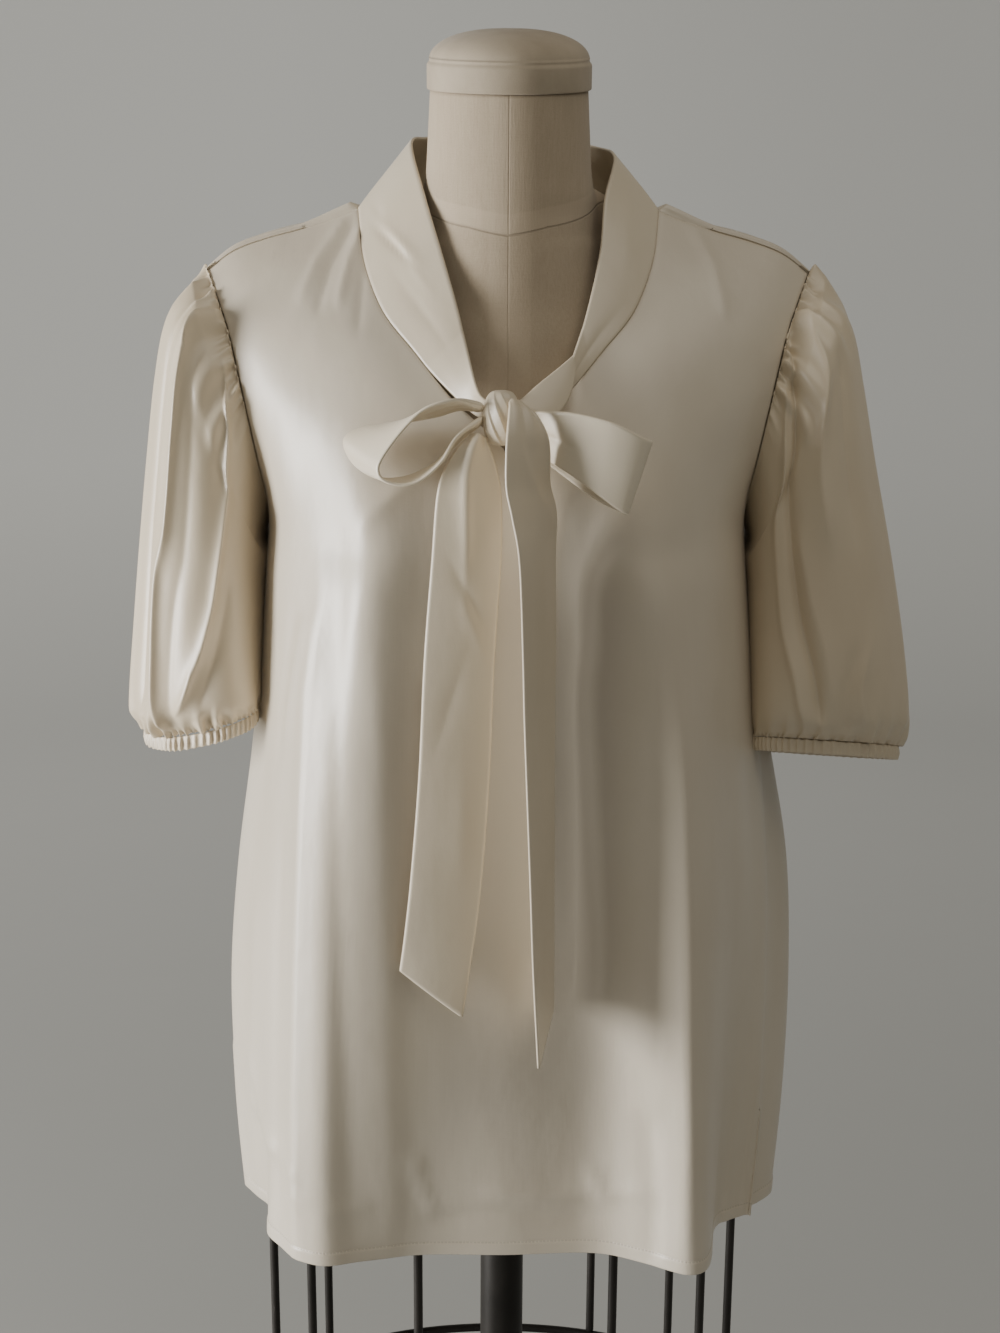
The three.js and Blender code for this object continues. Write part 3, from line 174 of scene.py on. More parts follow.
# Long folds down each sleeve: the turn in degrees at each of some places, how wide the fold is, and how far
# it stands out or lies in.
SLEEVE_FOLDS = {
    -1: (
        (
            (
                (-0.7, 34), (0.1, 42), (0.5, 51), (1.8, 59), (3.4, 61), (4.1, 54), (5.4, 56), (6.1, 59),
                (7.4, 70),
            ),
            5, 6.0,
        ),
        (((0.1, 58), (0.9, 70), (1.8, 77), (3.4, 79), (4.3, 73), (5.6, 72), (7, 78)), 11, -2.6),
        (((-0.7, 20), (0.2, 26), (2, 36), (4, 34), (6.4, 34)), 7, -5.0),
        (((-0.5, 8), (2, 14), (4, 14), (7.4, 14)), 6, 4.0),
        (
            (
                (-0.4, 76), (0, 102), (0.6, 110), (2.1, 112), (3.1, 110), (3.9, 107), (4.7, 100), (5.2, 92),
                (6.3, 78),
            ),
            5, 5.0,
        ),
        (((3.2, 122), (4.4, 116), (5.2, 108), (6.2, 98)), 9, -2.6), (((6, 112), (7.4, 106)), 7, -2.4),
        (((0.5, -30), (7, -30)), 15, 6.0), (((0.5, -78), (7, -78)), 17, 7.0),
        (((0.5, -54), (7, -54)), 9, -2.5),
    ),
    1: (
        (
            (
                (-0.6, 60), (-0.3, 74), (0.1, 90), (0.6, 106), (1.7, 113), (2.9, 115), (4, 114), (5.1, 108),
                (6.4, 104),
            ),
            6, -6.0,
        ),
        (
            ((-0.5, 84), (0, 104), (0.6, 119), (1.7, 127), (2.9, 129), (4, 128), (5.1, 121), (6.6, 114)), 6,
            4.0,
        ),
        (((-0.6, 36), (0, 52), (0.5, 62), (1.2, 78), (2, 85), (3.4, 84)), 9, 5.0),
        (((0.6, 46), (2, 58), (3.6, 62)), 9, -3.4), (((2.4, 108), (3.8, 104), (4.8, 98), (6, 95)), 7, 2.4),
        (((4.9, 64), (5.6, 76), (6.8, 72)), 6, 3.4), (((5, 78), (5.8, 88), (7, 84)), 6, -2.6),
        (((0.2, 20), (3, 26), (7, 28)), 10, 3.4), (((0.5, -30), (7, -30)), 15, 6.0),
        (((0.5, -78), (7, -78)), 17, 7.0), (((0.5, -54), (7, -54)), 9, -2.5),
    ),
}
CUFF_HEIGHT = 10
CUFF_GATHERS = 56
CUFF_GATHER_DEPTH = 1.7
FORM_BOTTOM_Z = 700
POLE_RADIUS = 16.5
ROD_RADIUS = 3.3
ROD_ANGLES = (0, 39, 65, 113, 143, 180, 217, 250, 297, 327)
CAGE_BOTTOM_Z = 455
BASE_RADIUS = 205
BASE_THICKNESS = 14
BASE_RISE = 4
BOSS_HEIGHT = 38
SEAT_GAP = 0.3
TIE_WIDTH = 47
RIBBON_COLUMNS = 33
CAP = {"radius": 55.5, "skirt": 19, "dome": 20}


def clamp(x):
    return np.clip(x, 0, 1)


def smoothstep(x):
    """Rises from 0 to 1 as three times the square less twice the cube."""
    x = clamp(x)
    return x * x * (3 - 2 * x)


def mix(a, b, share):
    return a + (b - a) * share


def unit(v):
    return v / np.maximum(np.linalg.norm(v, axis=-1, keepdims=True), 1e-9)


def curve(table, place, before=None, after=None):
    """A smooth line through a table's rows, read at places counted in rows.

    Each stretch is the cubic through two rows whose slope at a row is half the way between its neighbours.
    Beyond an end, the table goes on straight unless the row there is given.
    """
    table = np.asarray(table, float)
    before = 2 * table[0] - table[1] if before is None else np.asarray(before, float)
    after = 2 * table[-1] - table[-2] if after is None else np.asarray(after, float)
    rows = np.concatenate([before[None], table, after[None]])
    place = np.asarray(place, float)
    i = np.clip(np.floor(place).astype(int), 0, len(table) - 2)
    share = (place - i).reshape((-1,) + (1,) * (table.ndim - 1))
    return stretch(rows[i], rows[i + 1], rows[i + 2], rows[i + 3], share)


def stretch(p0, p1, p2, p3, share):
    """The cubic from p1 to p2 at a share of the way, with the slopes that curve describes."""
    s2 = share * share
    s3 = s2 * share
    slope1 = (p2 - p0) / 2
    slope2 = (p3 - p1) / 2
    first = (2 * s3 - 3 * s2 + 1) * p1 + (s3 - 2 * s2 + share) * slope1
    return first + (3 * s2 - 2 * s3) * p2 + (s3 - s2) * slope2


# ---- meshes


def grid_quads(index, closed=False):
    """The four-sided faces between the rows and columns of a grid of point numbers."""
    if closed:
        index = np.concatenate([index, index[:, :1]], axis=1)
    corners = (index[:-1, :-1], index[:-1, 1:], index[1:, 1:], index[1:, :-1])
    return np.stack(corners, -1).reshape(-1, 4)


def grid_uv(uv):
    """Each face's four pattern places, from a grid with one more column where the surface is closed."""
    return uv.reshape(-1, 2)[grid_quads(np.arange(uv.shape[0] * uv.shape[1]).reshape(uv.shape[:2]))]


def point_normals(points, quads):
    """The sum of the faces round each point, each as the cross product of its diagonals, made one long."""
    corner = points[quads]
    across = np.cross(corner[:, 2] - corner[:, 0], corner[:, 3] - corner[:, 1])
    sums = np.zeros_like(points)
    for k in range(4):
        np.add.at(sums, quads[:, k], across)
    return unit(sums)


def wall(points, quads, uv, thickness, normals=None, bulge=0.35):
    """A closed wall: the surface, a copy moved in by its thickness, and two strips round every rim.

    The strips meet on a line half way through the wall, which stands out from the rim so that the edge looks
    turned.
    """
    normals = point_normals(points, quads) if normals is None else normals
    thick = np.broadcast_to(np.asarray(thickness, float), len(points))[:, None]
    count = len(points)
    a = quads.ravel()
    b = np.roll(quads, -1, axis=1).ravel()
    lone = ~np.isin(a.astype(np.int64) * count + b, b.astype(np.int64) * count + a)
    uv_a = uv.reshape(-1, 2)[lone]
    uv_b = np.roll(uv, -1, axis=1).reshape(-1, 2)[lone]
    a, b = a[lone], b[lone]
    rim = np.unique(a)
    outward = np.zeros_like(points)
    square = np.cross(points[b] - points[a], normals[a])
    np.add.at(outward, a, square)
    np.add.at(outward, b, square)
    middle = points[rim] - normals[rim] * thick[rim] / 2 + unit(outward[rim]) * thick[rim] * bulge
    number = np.zeros(count, int)
    number[rim] = 2 * count + np.arange(len(rim))
    strips = np.concatenate([
        np.stack([b, a, number[a], number[b]], 1),
        np.stack([number[b], number[a], count + a, count + b], 1),
    ])
    strip_uv = np.stack([uv_b, uv_a, uv_a, uv_b], 1)
    every = np.concatenate([points, points - normals * thick, middle])
    faces = np.concatenate([quads, count + quads[:, ::-1], strips])
    return every, faces, np.concatenate([uv, uv[:, ::-1], strip_uv, strip_uv])


def loft(rings, cap_start=True, cap_end=True, looped=False):
    """A closed skin through rings of points, with a fan of thin faces over each open end."""
    count, sides = rings.shape[:2]
    points = rings.reshape(-1, 3)
    index = np.arange(count * sides).reshape(count, sides)
    if looped:
        index = np.concatenate([index, index[:1]])
    quads = [grid_quads(index, closed=True)]
    for wanted, ring, way in ((cap_start, index[0], -1), (cap_end, index[-1], 1)):
        if wanted and not looped:
            hub = len(points)
            points = np.concatenate([points, points[ring].mean(0)[None]])
            nxt = np.roll(ring, -1)
            fan = np.stack([ring, nxt, np.full(sides, hub), np.full(sides, hub)], 1)
            quads.append(fan if way > 0 else fan[:, [1, 0, 2, 3]])
    return points, np.concatenate(quads)


def make_mesh(name, points, quads, uv, material):
    """One object from points in millimetres and faces of four corners, or of three where two are the same."""
    mesh = bpy.data.meshes.new(name)
    triangle = quads[:, 2] == quads[:, 3]
    sizes = np.where(triangle, 3, 4)
    keep = np.ones(quads.shape, bool)
    keep[triangle, 3] = False
    mesh.vertices.add(len(points))
    mesh.vertices.foreach_set("co", (points * MM).astype(np.float32).ravel())
    mesh.loops.add(int(sizes.sum()))
    mesh.loops.foreach_set("vertex_index", quads[keep].astype(np.int32))
    mesh.polygons.add(len(quads))
    mesh.polygons.foreach_set("loop_start", np.concatenate([[0], np.cumsum(sizes)[:-1]]).astype(np.int32))
    mesh.polygons.foreach_set("use_smooth", np.ones(len(quads), bool))
    if uv is not None:
        layer = mesh.uv_layers.new(name="cloth")
        layer.data.foreach_set("uv", uv[keep].astype(np.float32).ravel())
    mesh.update(calc_edges=True)
    mesh.validate()
    mesh.materials.append(material)
    made = bpy.data.objects.new(name, mesh)
    bpy.context.scene.collection.objects.link(made)
    return made


def place_piece(made, node):
    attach(made, "root")
    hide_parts(node)


def run_length(grid, axis):
    """How far along a grid each point lies, summed from step to step."""
    steps = np.linalg.norm(np.diff(grid, axis=axis), axis=-1)
    start = np.zeros_like(np.take(steps, [0], axis=axis))
    return np.concatenate([start, np.cumsum(steps, axis=axis)], axis=axis)


# ---- the front and the back


def half_sections(panel, side):
    """The level sections of a half panel, hem to shoulder, each of six points from the middle to the side."""
    rows = []
    shapes = (FRONT_SKIRT if panel == "front" else BACK_SKIRT)[side]
    for z, centre, middle, shape, seam in zip(SKIRT_LEVELS, *CENTRES[panel], shapes, FRONT_SKIRT[side]):
        ridge, hollow, flank = shape[0:2], shape[2:4], shape[4:6]
        flat = [(0, centre), (ridge[0] * 0.52, middle), ridge, hollow, flank, seam[6:8]]
        rows.append([(side * x, y, z) for x, y in flat])
    for row in FRONT_YOKE if panel == "front" else BACK_YOKE:
        inner, outer, crown = row[0:3], row[11:14], row[14]
        section = [inner]
        for x, y in (row[3:5], row[5:7], row[7:9], row[9:11]):
            share = (x - inner[0]) / (outer[0] - inner[0])
            swell = 9.5 * share**3 * (1 - share)
            section.append((x, y, mix(inner[2], outer[2], share) + crown * swell))
        rows.append([(side * x, y, z) for x, y, z in [*section, outer]])
    return np.array(rows, float)


SECTIONS = {(panel, side): half_sections(panel, side) for panel in ("front", "back") for side in (1, -1)}
SLIT = {"front": 9, "back": 13}
TOP = {"front": 14, "back": 16}


def half_panel(panel, side, rows, columns):
    """A half panel's surface: rows counted up the sections, columns from 0 at the middle to 1 at the side.

    Each section is a smooth line through its six points, and each of the six points runs up the panel on a
    smooth line of its own.
    """
    section = curve(SECTIONS[panel, side], rows)
    section[rows <= SLIT[panel], 0, 0] = 0
    centre, middle, flank, edge = section[:, 0], section[:, 1], section[:, 4], section[:, 5]
    mirrored = middle * [-1, 1, 1]
    before = np.where(np.abs(centre[:, :1]) < 0.01, mirrored, 2 * centre - middle)
    straight = 2 * edge - flank
    turned = np.stack([flank[:, 0], 2 * edge[:, 1] - flank[:, 1], flank[:, 2]], 1)
    after = mix(straight, turned, smoothstep(8.5 - rows)[:, None])
    full = np.concatenate([before[:, None], section, after[:, None]], axis=1)
    place = np.asarray(columns) * 5
    i = np.clip(np.floor(place).astype(int), 0, 4)
    share = (place - i)[None, :, None]
    return stretch(full[:, i], full[:, i + 1], full[:, i + 2], full[:, i + 3], share)


def drawn_in(border, inner, gap):
    """A border moved into its piece, square to itself."""
    run = unit(np.gradient(border, axis=0))
    inward = inner - border
    inward -= (inward * run).sum(-1, keepdims=True) * run
    return border + unit(inward) * gap


def seam_roll(name, grid, across, up, slit_row):
    """How far the cloth rolls under beside a seam: it falls as the square from 3 mm away to the seam itself.

    Seams are the side above the vent, the armhole, the shoulder and the neck. The back's shoulder stands out
    in a pressed ridge 14 mm wide, twice as high towards the neck.
    """
    side_way = across[:, -1:] - across
    shoulder_way = up[-1:] - up
    above = smoothstep((grid[:, -1:, 2] - HEM_Z - VENT_HEIGHT) / 12)
    depth = 0.55 * above * clamp(1 - side_way / 2.6) ** 2
    deeper = 0.9 if name == "front" else 0.35
    depth = np.maximum(depth, deeper * clamp(1 - shoulder_way / 3.2) ** 2)
    neck_way = across + np.where(np.arange(len(grid))[:, None] > slit_row, 0, 50)
    depth = np.maximum(depth, 0.5 * clamp(1 - neck_way / 2.4) ** 2)
    pressed = 2.6 * smoothstep(shoulder_way / 2) * smoothstep((14 - shoulder_way) / 9) * (name == "back")
    pressed = pressed * (1 + 1.1 * smoothstep((150 - np.abs(grid[..., 0])) / 40)) * smoothstep(across / 5)
    return depth - pressed


HEM_ROWS = np.array([0, 0.7, 1.6, 3, 4.6, 6.4, 7.8, 8.6, 9.2, 9.8, 10.6, 11.8, 13.6, 16]) / 79


def panel_rows(panel):
    up = np.linspace(16 / 79, 7, 112)[1:]
    slit, top = SLIT[panel], TOP[panel]
    low = np.linspace(7, slit, 15 if panel == "front" else 46)[1:]
    high = np.linspace(slit, top - 0.1, 42 if panel == "front" else 22)[1:]
    last = top - np.array([0.07, 0.045, 0.025, 0.01, 0])
    return np.concatenate([HEM_ROWS, up, low, high, last])


# The soft creases of the front and the back: a line of (x, z) points, how wide the crease is, and how far it
# stands out of the surface or lies in it. Each dies away at both ends of its line.
FRONT_CREASES = (
    (((-112, 1180), (-114, 1000), (-110, 820), (-106, 655)), 22, -5.5),
    (((-84, 1100), (-82, 950), (-80, 800), (-78, 655)), 26, 4.5),
    (((46, 1150), (52, 950), (60, 800), (64, 655)), 52, -7.0),
    (((-136, 1108), (-143, 1070), (-150, 1025)), 5, 2.4),
    (((-143, 1112), (-152, 1060), (-159, 1000)), 5, -1.8),
    (((-124, 1125), (-134, 1060), (-139, 960), (-143, 860), (-146, 760), (-146, 655)), 6, 4.2),
    (((-156, 960), (-160, 860), (-164, 760), (-160, 655)), 9, -3.4),
    (((-176, 900), (-182, 800), (-184, 720), (-182, 655)), 9, 2.6),
    (((-184, 770), (-176, 735), (-166, 712)), 5, 2.0), (((-188, 740), (-172, 722), (-150, 714)), 4, 1.6),
    (((-150, 700), (-128, 690), (-100, 692)), 5, 1.3),
    (((118, 1040), (124, 900), (128, 760), (128, 655)), 8, 3.0),
    (((100, 760), (104, 700), (104, 655)), 6, -2.6), (((-10, 700), (40, 694), (92, 702)), 6, 1.8),
    (((-46, 680), (4, 684), (54, 676)), 5, -1.5), (((62, 716), (66, 704), (72, 690)), 3.5, 2.4),
    (((-64, 730), (-58, 706), (-50, 684)), 5, 1.4), (((-97, 1372), (-108, 1344), (-114, 1316)), 3.5, 1.9),
    (((-106, 1370), (-120, 1342), (-128, 1312)), 3.0, -1.5),
    (((-114, 1368), (-130, 1344), (-140, 1318)), 4.0, 1.5),
    (((-90, 1364), (-98, 1336), (-100, 1300)), 3.0, -1.3), (((128, 1368), (140, 1340), (146, 1310)), 5, 1.2),
    (((-48, 1215), (-70, 1200), (-96, 1176)), 9, 1.6),
)
BACK_CREASES = (
    (((-60, 1330), (-70, 1150), (-78, 950), (-84, 660)), 22, 3.0),
    (((58, 1330), (66, 1150), (74, 950), (82, 660)), 22, 3.0),
    (((0, 1200), (-4, 1000), (6, 800), (2, 660)), 26, -2.4),
    (((-130, 1120), (-138, 960), (-140, 800), (-134, 660)), 12, 2.2),
    (((128, 1120), (136, 960), (138, 800), (132, 660)), 12, 2.2),
    (((-34, 1376), (-40, 1330), (-46, 1270)), 9, 1.6), (((34, 1376), (40, 1330), (46, 1270)), 9, 1.6),
)


def sharp_hump(away):
    """A hump over sideways distance: rounded at its very top, then falling off as a power of e."""
    return np.exp(0.35 - np.sqrt(away * away * 1.9 + 0.1225))


def crease_height(points, creases):
    """How far the creases stand out at each point.

    A crease is a sharp hump over the distance from its line, measured sideways for a line that runs down and
    upwards for one that runs across, times a smooth rise and fall along the line.
    """
    height = np.zeros(points.shape[:-1])
    for line, width, depth in creases:
        line = np.array(line, float)
        down = abs(line[-1, 1] - line[0, 1]) > abs(line[-1, 0] - line[0, 0])
        along, sideways = (2, 0) if down else (0, 2)
        order = np.argsort(line[:, 1 if down else 0])
        run, off = line[order][:, ::-1].T if down else line[order].T
        share = (points[..., along] - run[0]) / (run[-1] - run[0])
        centre = np.interp(points[..., along], run, off)
        away = (points[..., sideways] - centre) / width
        ends = smoothstep(share * 4 + 0.5) * smoothstep((1 - share) * 4 + (0.9 if not down else 0.5))
        bottom = smoothstep((run[0] + 3 - HEM_Z) / -12) if down else 0
        ends = np.where(share < 0.5, np.maximum(ends, bottom * (share > -1)), ends)
        height += depth * sharp_hump(away) * ends
    return height


def panel(name, creases, material):
    """The front or the back: both halves with a shared middle line below the slit, drawn in at the seams.

    The vents open along the sides, the hem is thicker up to its stitching, and the creases stand out of the
    surface.
    """
    rows = panel_rows(name)
    columns = [np.linspace(0, 0.014, 4), np.linspace(0.014, 0.965, 62)[1:], np.linspace(0.965, 1, 9)[1:]]
    columns = np.concatenate(columns)
    slit_row = int(np.argmin(np.abs(rows - SLIT[name])))
    size = len(rows) * len(columns)
    grids, quads, uvs, thick, rolls = [], [], [], [], []
    for half, side in enumerate((1, -1)):
        grid = half_panel(name, side, rows, columns)
        grid[:, -1] = drawn_in(grid[:, -1], grid[:, -2], SEAM_GAP / 2)
        grid[-1] = drawn_in(grid[-1], grid[-2], SEAM_GAP / 2)
        grid[slit_row + 1:, 0] = drawn_in(grid[slit_row:, 0], grid[slit_row:, 1], SEAM_GAP / 2)[1:]
        open_by = VENT_SPREAD * smoothstep((HEM_Z + VENT_HEIGHT - grid[:, -1:, 2]) / VENT_HEIGHT)
        edge = clamp((columns - 14 / 15) * 15)[None]
        grid[:, :, 1] += (-1 if name == "front" else 1) * open_by * edge**1.3
        index = np.arange(size).reshape(len(rows), len(columns)) + half * size
        if half:
            index[: slit_row + 1, 0] -= size
        across = run_length(grid, 1)
        up = run_length(grid, 0)
        faces = grid_quads(index)
        places = grid_uv(np.stack([side * across, up], -1))
        if (name == "front") == (side < 0):
            faces, places = faces[:, ::-1], places[:, ::-1]
        band = np.minimum(up, (across[:, -1:] - across) + 400 * smoothstep((up - VENT_HEIGHT) / 4))
        groove = np.exp(-(((band - HEM_STITCHES) / 0.8) ** 2))
        rolls.append(seam_roll(name, grid, across, up, slit_row))
        thick.append(CLOTH + 0.7 * smoothstep((9.8 - band) / 0.9) - 0.35 * groove)
        grids.append(grid)
        quads.append(faces)
        uvs.append(places)
    points = np.concatenate([g.reshape(-1, 3) for g in grids])
    thick = np.concatenate([t.ravel() for t in thick])
    quads, uvs = np.concatenate(quads), np.concatenate(uvs)
    used, quads = np.unique(quads, return_inverse=True)
    quads = quads.reshape(-1, 4)
    points, thick = points[used], thick[used]
    normals = point_normals(points, quads)
    height = crease_height(points, creases)
    keep_off = smoothstep(np.abs(points[:, 0]) / 4 + (points[:, 2] < 1215))
    roll = np.concatenate(rolls).ravel()[used]
    points = points + normals * (height * keep_off + (thick - CLOTH) - roll)[:, None]
    return make_mesh(name + "_panel", *wall(points, quads, uvs, thick, normals), material)


# ---- the sleeves and the cuffs


def armhole(side, turn):
    """The armhole at turns in degrees: 0 at the shoulder seam, 90 at the front and 180 at the underarm."""
    front = np.interp(turn, np.arange(9) * 22.5, [14, 13.167, 12.333, 11.5, 10.667, 9.833, 9, 8, 7])
    back = np.interp(-turn, np.arange(10) * 20, [16, 15.25, 14.5, 13.75, 13, 11.8, 10.6, 9.4, 8.2, 7])
    ahead = half_panel("front", side, front, [1.0])[:, 0]
    behind = half_panel("back", side, back, [1.0])[:, 0]
    return np.where((turn >= 0)[:, None], ahead, behind)


def sleeve_oval(side, place, turn):
    """A ring of the sleeve at places counted in table rows, before its gathers and folds.

    Outwards and inwards it runs as the cosine of the turn. To the front and the back it runs as a power of
    the sine, 0.9 but for the front's inner side, each way with its own reach. Below the armhole its inner
    side is closed up to the body.
    """
    rings = curve(SLEEVE_RINGS[side], np.ravel(place))
    out_x, out_y, out_z, in_x, in_y, in_z, front, back, lean, tuck = rings.T[:, :, None]
    close = smoothstep((np.ravel(place)[:, None] + 0.2) / 1.4)
    in_x, in_y, tuck = in_x - 9 * close, in_y + 13 * close, tuck - 15 * close
    outwards = (1 + np.cos(turn)) / 2
    ahead = np.sin(turn)
    power = 0.9 - 0.45 * (1 - outwards) * (ahead > 0)
    reach = np.sign(ahead) * np.abs(ahead) ** power * np.where(ahead > 0, front, back)
    x = side * (mix(in_x, out_x, outwards) + tuck * (1 - outwards) * np.maximum(0, -ahead))
    y = mix(in_y, out_y, outwards) - reach
    z = mix(in_z, out_z, outwards) + lean * reach / (front + back)
    return np.stack(np.broadcast_arrays(x, y, z), -1)


def gather_wave(turn, count, seed):
    """A row of gathers round a ring: a cosine whose pace and height wander slowly, narrow at the top."""
    wander = np.random.default_rng(seed).uniform(-1, 1, (2, 6))
    order = np.arange(2, 8)
    pace = (wander[0] * np.sin(turn[..., None] * order + wander[1] * 3)).sum(-1) * 0.55
    tall = 1 + 0.3 * (wander[1] * np.sin(turn[..., None] * (order + 3) + wander[0] * 5)).sum(-1)
    wave = np.cos(turn * count + pace * 1.6)
    return (0.5 + 0.5 * wave) ** 1.3 * tall


def sleeve_relief(side, place, turn):
    """How far the sleeve's cloth stands out: gathers at both ends, and long folds between, each a hump."""
    last = len(SLEEVE_RINGS[side]) - 1
    degrees = np.degrees(turn)
    from_head = place + 1
    from_cuff = last - place
    upper = smoothstep((125 - np.abs(degrees)) / 45)
    away = smoothstep((150 - np.abs(degrees)) / 40)
    broad = 2.8 * upper * smoothstep(from_head * 2.4) * smoothstep((2.6 - from_head) / 2.3)
    short = 2.5 * upper * smoothstep(from_head * 5) * smoothstep((0.95 - from_head) / 0.85)
    hem = 2.4 * smoothstep((2.4 - from_cuff) / 2.2) * mix(0.4, 1, away)
    fine = 1.4 * smoothstep((0.9 - from_cuff) / 0.9)
    relief = broad * (gather_wave(turn, 16, 5 + side) - 0.45) * 2
    relief = relief + short * (gather_wave(turn, 44, 15 + side) - 0.12) * 1.5
    relief = relief + hem * (gather_wave(turn, 22, 25 + side) - 0.5) * 1.8
    relief = relief + fine * (gather_wave(turn, CUFF_GATHERS, 45 + side) - 0.5) * 2
    for line, width, depth in SLEEVE_FOLDS[side]:
        stops, turns = np.array(line, float).T
        centre = curve(turns[:, None], np.interp(place[:, 0], stops, np.arange(len(stops))))
        ends = smoothstep((place - stops[0]) * 1.2 + 0.4) * smoothstep((stops[-1] - place) * 1.0 + 0.25)
        relief = relief + depth * ends * sharp_hump((degrees - centre) / width) * away
    return relief


def sleeve(side, material):
    """A sleeve: rings that leave the armhole, turn into the ovals of the table and end at the cuff."""
    turn = np.radians(-180 + 360 * np.arange(400) / 400)[None]
    place = [np.linspace(-1, 0.4, 34), np.linspace(0.4, 6, 56)[1:], np.linspace(6, 8, 26)[1:]]
    place = np.concatenate(place)[:, None]
    seam = armhole(side, np.degrees(turn[0]))[None]
    oval = sleeve_oval(side, np.maximum(0, place), turn)
    ends = sleeve_oval(side, np.maximum(0, place), np.array([[0, np.pi]]))
    outward = unit(oval - ends.mean(1, keepdims=True))
    rings = mix(seam, oval, smoothstep((place + 1) / 1.6)[..., None])
    rings = rings + outward * sleeve_relief(side, place, turn)[..., None]
    rings[0] += unit(rings[1] - rings[0]) * SEAM_GAP / 2 + [side * SEAM_GAP / 2, 0, 0]
    index = np.arange(rings.shape[0] * rings.shape[1]).reshape(rings.shape[:2])
    looped = np.concatenate([rings, rings[:, :1]], axis=1)
    uv = grid_uv(np.stack([run_length(looped, 1)[6:7].repeat(len(rings), 0), run_length(looped, 0)], -1))
    quads = grid_quads(index, closed=True)
    if side < 0:
        quads, uv = quads[:, ::-1], uv[:, ::-1]
    name = "sleeve_cloth_right" if side > 0 else "sleeve_cloth_left"
    return make_mesh(name, *wall(rings.reshape(-1, 3), quads, uv, CLOTH), material)


def cuff(side, material):
    """The elastic cuff: a flattened round section carried round the sleeve's last ring.

    Its outer face is raised by a row of narrow gathers, deepest at the middle of its height, and its lower
    edge waves with them.
    """
    turns = 560
    turn = np.radians(-180 + 360 * np.arange(turns) / turns)[None]
    last = len(SLEEVE_RINGS[side]) - 1
    ring = sleeve_oval(side, np.array([last]), turn)[0]
    opposite = np.roll(ring, turns // 2, axis=0)
    outward = unit(ring - opposite)
    around = 2 * np.pi * np.arange(20) / 20
    tall = np.sign(np.sin(around)) * np.abs(np.sin(around)) ** 0.6
    deep = np.sign(np.cos(around)) * np.abs(np.cos(around)) ** 0.6
    gathers = gather_wave(turn[0], CUFF_GATHERS, 45 + side)
    drop = SEAM_GAP + CUFF_HEIGHT / 2 - tall[:, None] * (CUFF_HEIGHT / 2 + 0.35 * (gathers[None] - 0.5))
    out = -CLOTH / 2 + deep[:, None] * CLOTH / 2
    middle = (0.75 + 0.25 * np.cos(tall * np.pi))[:, None]
    raised = (deep[:, None] > 0) * CUFF_GATHER_DEPTH * gathers[None] * middle
    rings = ring[None] + outward[None] * (out + raised)[..., None]
    rings[..., 2] -= drop
    points, quads = loft(rings, looped=True)
    looped = np.concatenate([rings, rings[:, :1]], 1)
    looped = np.concatenate([looped, looped[:1]], 0)
    uv = grid_uv(np.stack([run_length(looped, 1), run_length(looped, 0)], -1))
    if side < 0:
        quads, uv = quads[:, ::-1], uv[:, ::-1]
    name = "cuff_band_right" if side > 0 else "cuff_band_left"
    return make_mesh(name, points, quads, uv, material)


# ---- the collar and the bow


def collar_lines(side):
    """The collar's seam and fold on one side, from the middle of the back round to the knot."""
    back = np.linspace(0, 3, 90)
    front = np.linspace(3, 6.333, 130)[1:]
    seam = np.concatenate([
        half_panel("back", side, 13 + back, [0.0])[:, 0],
        half_panel("front", side, 17 - front, [0.0])[:, 0],
    ])
    table = np.array(COLLAR_FOLD[side], float) * [side, 1, 1]
    fold = curve(table, np.concatenate([back, front]), before=table[1] * [-1, 1, 1])
    fold[0, 0] = 0
    seam = seam + unit(fold - seam) * SEAM_GAP
    ends = np.array(COLLAR_END[side], float).reshape(-1, 6)
    run = np.concatenate([[np.concatenate([seam[-1], fold[-1]])], ends])
    behind = np.concatenate([seam[-40], fold[-40]])
    tail = curve(run, np.linspace(0, len(ends), 48)[1:], before=behind)
    return np.concatenate([seam, tail[:, :3]]), np.concatenate([fold, tail[:, 3:]])


def collar(material):
    """The collar: a double band from the neck seam to its fold, a little swollen, round to the knot."""
    across = np.linspace(0, 1, 25)
    every, faces, places, start = [], [], [], 0
    for side in (1, -1):
        seam, fold = collar_lines(side)
        count = len(seam)
        outward = unit((seam + fold) * [1, 1, 0])
        run = run_length(seam[None], 1)[0]
        swell = 1.1 * np.sin(np.pi * across)[None] * clamp((run[-1] - run) / 60)[:, None]
        creased = collar_creases(side, run, across)
        grid = mix(seam[:, None], fold[:, None], across[None, :, None])
        grid = grid + outward[:, None] * (swell + creased)[..., None]
        index = np.arange(count * len(across)).reshape(count, len(across)) + start
        if start:
            index[0] = first
        else:
            first = index[0].copy()
        quads = grid_quads(index)
        uv = grid_uv(np.stack([run_length(grid, 1), side * run_length(grid, 0)], -1))
        if side < 0:
            quads, uv = quads[:, ::-1], uv[:, ::-1]
        every.append(grid.reshape(-1, 3))
        faces.append(quads)
        places.append(uv)
        start += count * len(across)
    grid, quads, uv = collar_turn()
    every.append(grid)
    faces.append(quads + start)
    places.append(uv)
    points, quads, uv = np.concatenate(every), np.concatenate(faces), np.concatenate(places)
    used, quads = np.unique(quads, return_inverse=True)
    points, quads = points[used], quads.reshape(-1, 4)
    return make_mesh("collar_band", *wall(points, quads, uv, DOUBLE_CLOTH, bulge=0.5), material)


